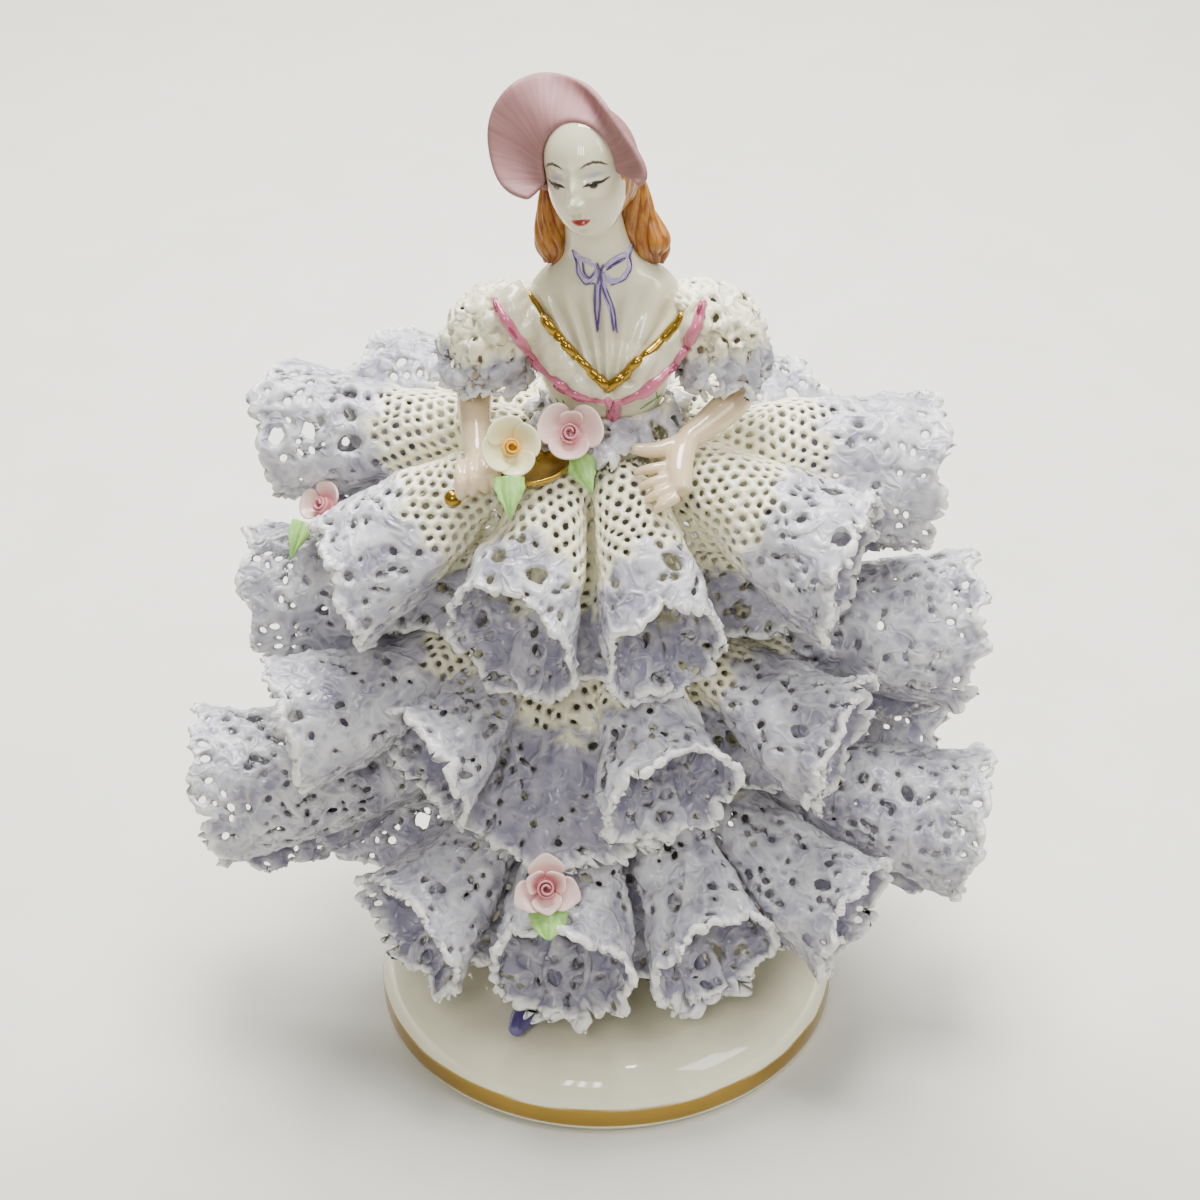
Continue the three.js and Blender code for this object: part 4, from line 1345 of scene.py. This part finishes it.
def makeHead():
    clearSelection()
    bpy.ops.mesh.primitive_uv_sphere_add(segments=224, ring_count=150, radius=1)
    ob = bpy.context.object
    way = pointsOf(ob) * mm
    turn = np.arctan2(way[:, 0], -way[:, 1])
    turn -= 0.5 * np.sin(turn)
    flat = np.hypot(way[:, 0], way[:, 1])
    way = np.stack([flat * np.sin(turn), -flat * np.cos(turn), way[:, 2]], 1)
    middle = np.array(head["middle"])

    def outside(points):
        gaps = []
        for centre, radii in (head["skull"], head["jaw"]):
            radii = np.array(radii)
            gaps.append((np.linalg.norm((points - centre) / radii, axis=1) - 1) * radii.min())
        a, b = gaps
        h = np.clip(0.5 + 0.5 * (b - a) / head["blend"], 0, 1)
        return b + (a - b) * h - head["blend"] * h * (1 - h)

    near, far = np.zeros(len(way)), np.full(len(way), 14.0)
    for _ in range(26):
        half = (near + far) / 2
        inside = outside(middle + way * half[:, None]) < 0
        near, far = np.where(inside, half, near), np.where(inside, far, half)
    points = middle + way * near[:, None]
    x, z = points[:, 0].copy(), points[:, 2].copy()
    front = smooth((-points[:, 1] - 0.6) / 2.6)
    out = np.zeros(len(points))
    for across, height, wide, tall, far in head["forms"]:
        for side in ((-1, 1) if across else (1,)):
            out += far * np.exp(-((x - side * across) / wide) ** 2 - ((z - height) / tall) ** 2)
    points[:, 1] -= out * front
    hidden = smooth((points[:, 1] + 2.5) / 1.5) * smooth((points[:, 2] + 1.5) / 2)
    points += (middle - points) * (0.2 * hidden)[:, None]
    movePoints(ob, points)
    x = abs(x)
    lashGap, lashAlong = nearLine(x, z, head["eye"]["lash"])
    browGap, browAlong = nearLine(x, z, head["brow"])
    lashZ = np.interp(x, *zip(*head["eye"]["lash"]))
    lowerZ = np.interp(x, *zip(*head["eye"]["lower"]))

    def inked(gap, half):
        return smooth((half - gap) / 0.1 + 0.5) * (front > 0.3)

    lash = inked(lashGap, head["eye"]["lashHalf"] * np.sin(np.pi * np.clip(lashAlong, 0.05, 0.95)) ** 0.5)
    opened = smooth((lashZ - z) / 0.1 + 0.5) * smooth((z - lowerZ) / 0.1 + 0.5) * (x > 1.3) * (x < 3.2)
    across, height, radius = head["eye"]["iris"]
    iris = opened * smooth((radius - np.hypot(x - across, z - height)) / 0.12 + 0.5)
    brow = 0.95 * inked(browGap, head["browHalf"] * np.sin(np.pi * np.clip(browAlong, 0.04, 0.96)) ** 0.6)
    lid = 0.62 * np.exp(-((x - 2.45) / 0.95) ** 2 - ((z + 0.05) / 0.5) ** 2)
    lid = lid * smooth((z - lashZ) / 0.15 + 0.5) * front
    bow = 0.42 * np.clip(1 - (x / 1.45) ** 1.6, 0, 1) * (1 - 0.3 * np.exp(-(x / 0.22) ** 2))
    lower = 0.62 * np.clip(1 - (x / 1.2) ** 2, 0, 1) ** 0.7
    mouth = head["mouth"]
    lips = smooth((np.minimum(mouth + bow - z, z - mouth + lower)) / 0.12 + 0.5) * (x < 1.5) * front
    across, height, wide, tall, strength = head["cheek"]
    blush = strength * np.exp(-((x - across) / wide) ** 2 - ((z - height) / tall) ** 2) * front
    paint(ob, ink=np.clip(np.maximum(np.maximum(lash, iris), brow), 0, 1), lid=lid, lips=lips, blush=blush)
    placed(ob, head["place"])
    return finished(ob, "head_painted", faceGlaze, [])


faceGlaze = glazeMaterial("painted face glaze", paints["figure"], [
    ("blush", paints["blush"]), ("lid", paints["shade"]), ("lips", paints["lips"]), ("ink", paints["brow"]),
], 0.08, 0.02)
headCast = makeHead()
print("head made")


def brushedMaterial(name, light, dark, along, around, roughness, coat, layers=()):
    # Strokes that follow the attributes "around" and "along", laid on by a brush.
    material = glazeMaterial(name, light, layers, roughness, 0.03, 0, 0.00005, coat)
    first = [node for node in material.node_tree.nodes if node.bl_idname == "ShaderNodeMix"][0]
    x = multiplied(material, attributeOf(material, "around"), around)
    y = multiplied(material, attributeOf(material, "along"), along)
    pair = addNode(material, "CombineXYZ", "Vector", {"X": x, "Y": y})
    strokes = addNode(material, "TexNoise", "Fac", {"Vector": pair, "Scale": 1, "Detail": 4, "Distortion": 0.4})
    spread = addNode(material, "MapRange", "Result", {"Value": strokes, "From Min": 0.36, "From Max": 0.66})
    setInputs(material, first, {"A": mixedColour(material, spread, light, dark)})
    return material


bonnet = {
    "place": Matrix.Translation((-1.6, -2.4, 127.7)) @ turnBy(-26, -20, -12),
    "brimAt": -5.3,  # how far the brim's edge is in front of the bonnet's middle
    "innerAt": -3.3,  # the same on the head, for the edge by the face
    "innerEnds": (-104, 94),  # how far that edge goes round the head, from the top
    # the outer edge as it is seen in a 1200 x 1200 picture, from her right cheek over the top to her left cheek
    "outer": [
        (529, 199), (512, 196), (501, 187), (494, 173), (489, 156), (487, 138), (489, 119), (495, 102),
        (505, 88), (519, 77), (535, 72), (551, 71), (566, 73), (579, 78), (590, 84), (600, 95), (610, 111),
        (620, 126), (631, 142), (642, 157), (650, 171), (651, 180), (646, 189), (638, 186),
    ],
    "thick": 0.8,
    "clear": 0.9,  # between the lining and the head
    # the crown behind: distance behind the face, radius
    "crown": [(-0.4, 5.7), (1.3, 5.9), (2.8, 5.7), (4.2, 4.9), (5.3, 3.5), (6, 1.8), (6.2, 0.05)],
    "crownAt": Matrix.Translation((-0.9, -2.5, 129.4)) @ turnBy(-20, -8, -10),
    "crownTall": 1.14,
    "crownEnds": (-122, 100),  # how far its rows go round, from the top
    "top": 139.2,
}


def planeSpots(pixels, origin, normal):
    # where the camera's rays through the pixels meet a plane
    eye = eyePlace()
    spots = []
    for way in raysTo(pixels):
        spots.append(eye + way * (np.dot(origin - eye, normal) / np.dot(way, normal)))
    return np.array(spots)


def loft(rows):
    # a grid moved onto rows of points
    rows = np.array(rows)
    down, across = rows.shape[:2]
    ob, u, v = flatGrid(across - 1, down - 1)
    j = np.rint((u + 1) / 2 * (across - 1)).astype(int)
    i = np.rint((v + 1) / 2 * (down - 1)).astype(int)
    movePoints(ob, rows[i, j])
    return ob


def makeBonnet(headCast):
    place = bonnet["place"]
    turn = np.array(place.to_3x3())
    origin = np.array(place.translation)
    back = turn @ np.array([0, 1, 0])
    count = 61
    cast = tree(headCast)
    inner = []
    for angle in np.radians(np.linspace(*bonnet["innerEnds"], count)):
        start = head["place"] @ Vector((20 * math.sin(angle), bonnet["innerAt"], 20 * math.cos(angle)))
        goal = head["place"] @ Vector((0, bonnet["innerAt"], 0))
        spot, normal = cast.ray_cast(start, goal - start)[:2]
        inner.append(np.array(spot + normal * 0.12))
    inner = np.array(inner)
    outer = planeSpots(evenCount(bonnet["outer"], count), origin + back * bonnet["brimAt"], back)
    eye = eyePlace()

    def lowered(spots):
        # what is too high slides back along the camera's rays
        ways = unit(spots - eye)
        return spots - ways * (np.maximum(0, spots[:, 2] - bonnet["top"]) / ways[:, 2])[:, None]

    outer = lowered(outer)
    for _ in range(3):
        inner[1:-1] = (inner[:-2] + inner[1:-1] * 2 + inner[2:]) / 4
        outer[1:-1] = (outer[:-2] + outer[1:-1] * 2 + outer[2:]) / 4
    draw = np.random.default_rng(5)
    wave = 0.16 * np.sin(np.linspace(0, 30, count) + draw.uniform(0, 3))
    rows = []
    for share in np.linspace(0, 1, 9):
        row = inner + (outer - inner) * share
        hollow = 0.9 * math.sin(math.pi * share) - 0.35 * share ** 3
        row = row + back * (hollow + wave * share)[:, None]
        for i, spot in enumerate(row):
            way = unit(spot - eye)
            hit = cast.ray_cast(Vector(eye), Vector(way))
            if hit[0] is not None:
                row[i] = eye + way * min(np.dot(spot - eye, way), hit[3] - bonnet["clear"] * smooth(share / 0.2))
        rows.append(lowered(row))
    rows = np.array(rows)
    for _ in range(4):
        relax(rows)
    brim = loft(rows)
    # the crown, from the back of the brim to its middle
    mouth = outer * 0.3 + inner * 0.7 + back * 0.9
    crownRows = [mouth]
    crownTurn = np.array(bonnet["crownAt"].to_3x3())
    for depth, radius in bonnet["crown"]:
        share = smooth((depth + 2) / 4.5)
        turns = np.linspace(*bonnet["crownEnds"], count)
        tall = radius * bonnet["crownTall"] * np.cos(np.radians(turns))
        ring = np.stack([radius * np.sin(np.radians(turns)), np.full(count, depth), tall], 1)
        ring = ring @ crownTurn.T + np.array(bonnet["crownAt"].translation)
        crownRows.append(mouth + (ring - mouth) * max(share, 0.35))
    crown = loft(crownRows)
    for ob in (brim, crown):
        applied(closedUp(ob, 0.00002), "SOLIDIFY", thickness=bonnet["thick"] * mm, offset=0)
    ob = subdivided(joined([brim, crown]), 1)
    points = (pointsOf(ob) - origin) @ turn
    out = np.hypot(points[:, 0], points[:, 2])
    paint(ob, around=np.degrees(np.arctan2(points[:, 0], points[:, 2])), along=out)
    finished(ob, "bonnet_brushed", brushed["bonnet"], [])


brushed = {
    "bonnet": brushedMaterial("bonnet pink, brushed", paints["bonnet"], paints["bonnetDark"], 0.12, 0.35, 0.6, 0.05),
    # the hair's deep layer is painted shade in creases and grooves
    "hair": brushedMaterial("hair brown, brushed", paints["hair"], paints["hairDark"], 0.5, 1.3, 0.34, 0.12,
        [("deep", paints["hairDark"])]),
}
makeBonnet(headCast)
print("bonnet made")

locks = {
    "hair_right": [
        (-5, 1.2, 125.9, 1.4), (-5.2, 0.5, 122.8, 1.8), (-5.1, 0, 120, 2), (-5.3, -0.4, 117.7, 2),
        (-5.6, -0.7, 115.2, 1.5),
    ],
    "hair_left": [
        (4.2, 0.1, 127, 1.7), (4.9, 0.4, 123.4, 2.1), (5.9, 0.4, 120, 2.5), (7, 0, 117.5, 2.5),
        (7.7, -0.4, 115.2, 1.9),
    ],
}


def makeLocks():
    # Each lock is a sheaf of strands, twisted like a loose rope.
    draw = np.random.default_rng(6)
    for name, stops in locks.items():
        stops = np.array(stops)
        t = np.linspace(0, 1, 19)
        line = np.stack([np.interp(t, np.linspace(0, 1, len(stops)), stops[:, i]) for i in range(4)], 1)
        strands = []
        for k in range(8):
            spin = k * 2 * math.pi / 7
            off = 0.6 if k < 7 else 0
            end = draw.uniform(0.9, 1.04)
            path = []
            for i, (x, y, z, wide) in enumerate(line):
                phase = spin + 2 * math.pi * 0.45 * t[i] * (1 if name == "hair_right" else -1)
                taper = 1 - 0.6 * smooth((t[i] - 0.8) / 0.24)
                radius = wide * (0.4 if k < 7 else 0.55) * taper * (1 + 0.1 * math.sin(8 * t[i] + spin))
                path.append((
                    x + wide * (off * math.cos(phase) + 0.1 * math.sin(7 * t[i] + 1)) * taper,
                    y + 0.75 * wide * off * math.sin(phase) * taper,
                    stops[0, 2] + (z - stops[0, 2]) * end, radius,
                ))
            ob = rod(path, 5, 4)
            points = pointsOf(ob)
            path = np.array(path)
            nearest = np.abs(points[:, None, 2] - path[None, :, 2]).argmin(1)
            turn = np.degrees(np.arctan2(points[:, 1] - path[nearest, 1], points[:, 0] - path[nearest, 0]))
            axis = np.stack([np.interp(-points[:, 2], -line[:, 2], line[:, i]) for i in range(4)], 1)
            out = np.hypot(points[:, 0] - axis[:, 0], points[:, 1] - axis[:, 1]) / axis[:, 3]
            # deep: painted shade in the crevices between a lock's strands
            paint(ob, around=turn / 50 + 3 * k, along=points[:, 2], deep=0.95 * smooth((0.92 - out) / 0.3))
            strands.append(ob)
        finished(joined(strands), name, brushed["hair"], [])


makeLocks()


backHair = {"ball": ((0, 0.5, -1), (5.5, 5.4, 6.1)), "strokes": 27}  # in the head's own frame


def makeBackHair():
    # What the bonnet leaves free at the nape and behind the cheeks, combed down.
    ob = ball(*backHair["ball"], 96)
    points = pointsOf(ob) - np.array(backHair["ball"][0])
    turn = np.arctan2(points[:, 0], points[:, 1])

    def strokes():
        return np.sin(turn * backHair["strokes"] + 0.5 * points[:, 2])

    comb = 0.12 * strokes() + 0.1 * waves(points, 2.2, 12)
    points *= (1 + comb / 6)[:, None]
    movePoints(ob, points + np.array(backHair["ball"][0]))
    # deep: painted shade in the grooves between the combed strokes
    deep = 0.5 * smooth((-strokes() - 0.2) / 0.8)
    paint(ob, around=np.degrees(turn) / 9, along=points[:, 2], deep=deep)
    placed(ob, head["place"])
    finished(ob, "hair_back", brushed["hair"], [])


makeBackHair()
print("hair made")


gilt = glazeMaterial("gilding", paints["gold"], (), 0.22, 0.12, 0.85, 0.0002, 0.2)


basket = {
    "dish": [(-0.5, 2.8), (-0.2, 3.5), (0.5, 4.3), (1.05, 4.5), (1.25, 4.3), (1.1, 4.05), (0.6, 3.4), (0.35, 2.4)],
    "place": Matrix.Translation((-7.7, -9.6, 90.9)) @ turnBy(0, 0, -8),
    "handle": [
        (-10.6, -10, 90.9, 0.75), (-13, -10.4, 90.5, 0.65), (-15.2, -10.7, 89.7, 0.65),
        (-17.6, -11.4, 88.6, 0.75),
    ],
    "knob": ((-18.1, -11.5, 88.4), (1.2, 1.15, 1.1)),
}


def makeBasket():
    dish = ringStack([(z, 0, 0, radius, radius) for z, radius in basket["dish"]], 48)
    placed(dish, basket["place"])
    activate(dish)
    bpy.ops.object.transform_apply(location=True, rotation=True, scale=True)
    subdivided(dish, 1)
    handle = rod(basket["handle"], 6, 4)
    knob = ball(*basket["knob"])
    finished(joined([dish, handle, knob]), "basket_gilt", gilt, ["basket"])


makeBasket()


def petal(turn, spread, lift, half, cup=0.5, curl=0.5, tip=0.0, notch=0.0, base=0.5):
    # A round petal that wraps round the bloom's axis.
    ob, u, v = flatGrid(10, 10)
    u, v = u * np.sqrt(1 - v * v / 2), v * np.sqrt(1 - u * u / 2)  # from a square to a disc
    v = v + (tip * np.exp(-(u / 0.25) ** 2) - notch * np.exp(-(u / 0.3) ** 2)) * np.clip(v, 0, 1) ** 2
    s = (v + 1) / 2
    r = base + (spread - base) * s ** 0.9 - 0.12 * u
    a = np.radians(turn + u * half)
    z = -1.3 + lift * s ** 1.7 + cup * u * u * s - curl * np.clip((s - 0.72) / 0.28, 0, 1.3) ** 2
    movePoints(ob, np.stack([r * np.cos(a), r * np.sin(a), z], 1))
    return ob


def coil(turns, inner, outer, tall, drop=0.5):
    # The rolled heart of a bloom.
    ob, u, v = flatGrid(44, 4)
    s, h = (u + 1) / 2, (v + 1) / 2
    r = inner + (outer - inner) * s + 0.18 * h ** 2
    a = s * turns * 2 * np.pi
    z = -1 + (tall - drop * s + 0.1 * np.sin(5 * s + 1)) * h
    movePoints(ob, np.stack([r * np.cos(a), r * np.sin(a), z], 1))
    return ob


roses = {
    "rose_yellow": {
        "at": (-10.6, -11.4, 95.6), "facing": (57, 8), "slot": "yellow_petal",
        "colours": ("yellowPetal", "yellowHeart"),
        "petals": [(200, 3.9, 2.5, 62), (285, 3.8, 2.4, 58), (20, 3.7, 2.3, 60), (110, 3.9, 2.6, 62)],
        "coil": (1.8, 0.3, 0.95, 2.1), "heartReach": 1.1,
    },
    "rose_pink": {
        "at": (-3.3, -9.6, 96.4), "facing": (52, -6), "slot": "pink_petal", "colours": ("pinkPetal", "pinkHeart"),
        "petals": [(155, 4.4, 2.6, 60), (25, 4.4, 2.6, 62), (270, 3.6, 2.4, 72), (90, 2.8, 2.5, 46)],
        "notch": 0.12, "coil": (1.8, 0.25, 1.1, 2.2), "heartReach": 1.3,
    },
    "rose_front": {
        "at": (-7.6, -28.7, 40), "facing": (62, 6), "slot": "pink_petal", "colours": ("pinkPetal", "pinkHeart"),
        "petals": [
            (205, 4.2, 1.9, 50), (338, 4.3, 1.9, 50), (88, 4.2, 2.1, 52), (272, 3.3, 2.1, 56),
            (150, 2.6, 2.3, 60), (30, 2.6, 2.3, 60),
        ],
        "tip": 0.3, "coil": (1.9, 0.25, 1.1, 2.4), "heartReach": 1.5,
    },
    "rose_side": {
        "at": (-36.2, 2.8, 79.2), "facing": (50, -40), "slot": "pink_petal", "colours": ("pinkPetal", "pinkHeart"),
        "petals": [(200, 3.3, 2.1, 58), (320, 3.3, 2.1, 58), (80, 3.3, 2.2, 60)],
        "coil": (2.2, 0.25, 1, 2), "heartReach": 1.5,
    },
}


def makeRoses():
    glazes = {}
    for name, rose in roses.items():
        tip, notch = rose.get("tip", 0), rose.get("notch", 0)
        parts = [petal(turn, spread, lift, half, tip=tip, notch=notch) for turn, spread, lift, half in rose["petals"]]
        parts.append(coil(*rose["coil"]))
        ob = applied(joined(parts), "SOLIDIFY", thickness=0.34 * mm, offset=0)
        subdivided(ob, 1)
        ob = joined([ob, ball((0, 0, -1.4), (1.5, 1.5, 1), 16)])
        points = pointsOf(ob)
        out = np.hypot(points[:, 0], points[:, 1])
        heart = 1 - smooth((out - rose["heartReach"] * 0.7) / (rose["heartReach"] * 0.9))
        tinge = np.clip(0.35 + 0.35 * waves(points, 3, 4), 0, 1) * (1 - smooth((out - 1.2) / 2.2))
        paint(ob, heart=np.clip(np.maximum(heart, 0.4 * tinge), 0, 1))
        lean, turned = (math.radians(angle) for angle in rose["facing"])
        ob.matrix_world = (
            Matrix.Scale(mm, 4) @ Matrix.Translation(rose["at"]) @ Matrix.Rotation(turned, 4, "Z")
            @ Matrix.Rotation(lean, 4, "X") @ Matrix.Scale(1 / mm, 4)
        )
        colours = rose["colours"]
        if colours not in glazes:
            glazes[colours] = glazeMaterial(colours[0], paints[colours[0]], [("heart", paints[colours[1]])],
                0.3, 0.06, 0, 0.0001, 0.15)
        finished(ob, name + "_bloom", glazes[colours], [name])


leaves = {
    # root, tip, half width, how blunt
    "leaf_yellow": ((-10.9, -14, 93), (-10.9, -16.4, 88.3), 2.1, 1.8),
    "leaf_pink": ((-2.4, -9.9, 93.2), (-0.8, -12.4, 89.4), 2, 2),
    "leaf_front": ((-7.4, -28.5, 37.2), (-7.4, -31.9, 33.9), 2.5, 5),
    "leaf_side": ((-38.6, 1.4, 77.6), (-40.2, -1.1, 73.4), 1.5, 1.8),
}


def makeLeaves():
    toEye = -Vector((0, math.cos(math.radians(view["pitch"])), -math.sin(math.radians(view["pitch"]))))
    for name, (root, tip, half, blunt) in leaves.items():
        ob, u, v = flatGrid(12, 14)
        s = (v + 1) / 2
        ahead = Vector(tip) - Vector(root)
        side = ahead.cross(toEye).normalized()
        lift = side.cross(ahead).normalized()
        wide = half * np.clip(1.02 - s ** blunt, 0.02, 1) * (0.8 + 0.2 * np.sin(np.pi * np.clip(s * 1.4, 0, 1)))
        wide = wide * (1 + 0.08 * np.sin(s * 26))
        fold = -0.4 * abs(u) * wide + 0.22 * np.sin(u * 9) * (1 - 0.5 * s) + 0.5 * np.sin(np.pi * s)
        points = np.array(root) + s[:, None] * np.array(ahead) + (u * wide)[:, None] * np.array(side)
        points = points + fold[:, None] * np.array(lift)
        movePoints(ob, points)
        applied(ob, "SOLIDIFY", thickness=0.5 * mm, offset=0)
        subdivided(ob, 1)
        off = pointsOf(ob) - np.array(root)
        along = off @ np.array(ahead) / ahead.length_squared
        across = off @ np.array(side)
        veins = np.exp(-((np.sin(abs(across) * 2.4 - along * 9)) / 0.22) ** 2)
        rib = np.exp(-(across / 0.14) ** 2) + 0.45 * veins
        paint(ob, vein=np.clip(0.5 * rib, 0, 1))
        finished(closedUp(ob), name + "_folded", leafGlaze, [name])


leafGlaze = glazeMaterial("leaf green", paints["leaf"], [("vein", paints["leafDark"])], 0.35, 0.12, 0, 0.0001, 0.1)
makeRoses()
makeLeaves()
print("basket, roses and leaves made")


shoe = {
    "line": [
        (-6.4, -11, 12.4, 1.8), (-8, -14, 12.3, 2), (-10.2, -18.6, 12, 2.1), (-11.8, -22, 11.6, 1.7),
        (-12.6, -23.9, 11.4, 1),
    ],
    "sole": 10.05,
}


def makeShoe():
    ob = fused([rod(shoe["line"], 6, 5)], 0.3, 4)
    points = pointsOf(ob)
    points[:, 2] = np.maximum(shoe["sole"], points[:, 2])
    movePoints(ob, points)
    finished(ob, "shoe", shoeGlaze, [])


shoeGlaze = glazeMaterial("shoe violet", paints["shoe"], (), 0.12)
makeShoe()


collar = {
    # its two edges as they are seen in a 1200 x 1200 picture, from her right shoulder to her left one
    "inner": [(519, 280), (527, 293), (544, 320), (561, 342), (579, 360), (596, 377), (608, 388),
        (620, 378), (635, 364), (653, 350), (666, 337), (680, 321), (692, 301)],
    "outer": [(490, 297), (501, 318), (514, 337), (531, 359), (550, 380), (572, 395), (604, 405),
        (642, 395), (662, 381), (676, 366), (688, 350), (700, 325), (707, 299)],
    "thick": 0.9,
    "lift": 0.5,
    "roll": 0.5,
    "crumple": 0.6,
}


def makeCollar():
    grounds = [([Vector(p) for p in pointsOf(bodyCast)], [tuple(f.vertices) for f in bodyCast.data.polygons])]
    for name in ("sleeve_left", "sleeve_right"):
        grid = wrapSheet(wraps[name])[0]
        rows, across = grid.shape[:2]
        cells = [i * across + j for i in range(rows - 1) for j in range(across - 1)]
        grounds.append(([Vector(p) for p in grid.reshape(-1, 3)],
            [(c, c + 1, c + across + 1, c + across) for c in cells]))
    casts = [BVHTree.FromPolygons(*ground) for ground in grounds]
    eye = eyePlace()
    count = 81
    inner, outer = evenCount(collar["inner"], count), evenCount(collar["outer"], count)
    shares = np.linspace(0, 1, 11)
    ways = np.array([raysTo(inner * (1 - share) + outer * share) for share in shares])
    depth = np.full(ways.shape[:2], 1e3)
    for cast in casts:
        for i in range(len(shares)):
            for j in range(count):
                hit = cast.ray_cast(Vector(eye), Vector(ways[i, j]))
                if hit[0] is not None:
                    depth[i, j] = min(depth[i, j], hit[3])
    for line in depth:
        met = np.nonzero(line < 900)[0]
        line[:] = np.interp(np.arange(count), met, line[met])
    ground = depth.copy()
    for _ in range(14):
        relax(depth)
        depth = np.minimum(depth, ground)
    rows = eye + ways * (depth - collar["lift"])[..., None]
    lift = collar["roll"] * np.sin(np.pi * shares)[:, None] + collar["crumple"] * waves(rows, 2.7, 71)
    lift = lift + 0.25 * waves(rows, 1.7, 72)
    ob = loft(rows - ways * lift[..., None])
    applied(ob, "SOLIDIFY", thickness=collar["thick"] * mm, offset=0)
    subdivided(ob, 1)
    points = pointsOf(ob)
    paint(ob, skin=0 * points[:, 0], blush=0 * points[:, 0])
    return finished(ob, "collar", white, [])


collarCast = makeCollar()
print("collar made")


def laid(pixels, half, lift, cast, step, wave):
    # A band of glaze or clay along a line drawn over the cast.
    hits = onCast(evenly(pixels, step), cast)
    count = len(hits)
    path = []
    for i, (place, normal) in enumerate(hits):
        t = i / max(1, count - 1)
        ends = 0.55 + 0.45 * min(1, 6 * min(t, 1 - t))
        place = place + normal * lift
        path.append((*place, half * ends * (1 + wave * float(waves(place[None], 3.5, 81)[0]))))
    return rod(path, 3, 3)


drawn = {
    "gold_v": {
        "paint": "gilding", "half": 0.62, "lift": 0.12, "wave": 0.1, "slot": "gilding",
        "lines": [[(523, 281), (529, 292), (544, 320), (561, 342), (579, 360), (596, 377), (608, 389),
            (620, 379), (635, 364), (653, 350), (666, 337), (679, 322), (687, 303)]],
    },
    "pink_v": {
        "paint": "rose", "half": 0.66, "lift": -0.08, "wave": 0.3, "slot": "glaze",
        "lines": [
            [(494, 299), (504, 318), (516, 336), (533, 358), (551, 378), (572, 392), (588, 399), (605, 402)],
            [(703, 300), (697, 325), (685, 349), (674, 364), (660, 379), (642, 392), (624, 401), (608, 403)],
            [(606, 398), (612, 408), (611, 424)], [(616, 400), (616, 412), (610, 422)],
        ],
    },
    "pink_strokes": {
        "paint": "deepRose", "half": 0.28, "lift": 0.5, "wave": 0.3, "slot": "glaze",
        "lines": [
            [(496, 303), (499, 312)], [(509, 325), (517, 337)], [(530, 354), (541, 369)],
            [(556, 383), (566, 390)], [(574, 394), (585, 398)],
            [(702, 304), (700, 314)], [(690, 341), (684, 350)], [(675, 362), (666, 372)],
            [(650, 387), (640, 393)], [(612, 400), (608, 410)], [(612, 412), (611, 421)],
        ],
    },
    "sprigs": {
        "paint": "leafDark", "half": 0.16, "lift": 0.02, "wave": 0, "slot": "glaze",
        "lines": [
            [(550, 401), (560, 405), (567, 409)], [(556, 398), (560, 405)], [(563, 400), (565, 408)],
            [(640, 409), (650, 402), (662, 394)], [(656, 392), (658, 399)], [(662, 399), (655, 402)],
        ],
    },
    "ribbon_fill": {
        "paint": "ribbonPale", "half": 0.42, "lift": -0.14, "wave": 0, "slot": "glaze",
        "lines": [
            [(572, 250), (579, 258), (588, 261), (597, 267)], [(632, 243), (627, 254), (616, 258), (604, 267)],
            [(577, 259), (578, 272), (586, 282), (594, 276), (597, 268)],
            [(628, 258), (630, 268), (622, 280), (610, 282), (604, 272)],
            [(599, 276), (598, 300), (597, 329)], [(601, 276), (608, 300), (616, 331)],
        ],
    },
    "ribbon_edges": {
        "paint": "ribbon", "half": 0.15, "lift": 0.16, "wave": 0.15, "slot": "glaze",
        "lines": [
            [(573, 250), (577, 261), (578, 274), (585, 284), (595, 283)],
            [(583, 262), (584, 272), (590, 279), (595, 272)],
            [(633, 242), (629, 256), (631, 268), (625, 279), (611, 285)], [(606, 270), (614, 264), (625, 258)],
            [(597, 262), (600, 270), (598, 284)], [(603, 264), (601, 274), (602, 284)],
            [(595, 284), (594, 308), (597, 332)], [(600, 284), (601, 306), (598, 330)],
            [(601, 282), (609, 306), (613, 331)], [(606, 288), (613, 308), (618, 333)],
        ],
    },
}


def makeDrawn():
    cast = tree(bodyCast, collarCast)
    for name, spec in drawn.items():
        parts = [laid(line, spec["half"], spec["lift"], cast, 3.2, spec["wave"]) for line in spec["lines"]]
        material = gilt if spec["paint"] == "gilding" else glazeMaterial(name, paints[spec["paint"]], (), 0.12)
        finished(joined(parts), name, material, [])


makeDrawn()
print("trims laid on")
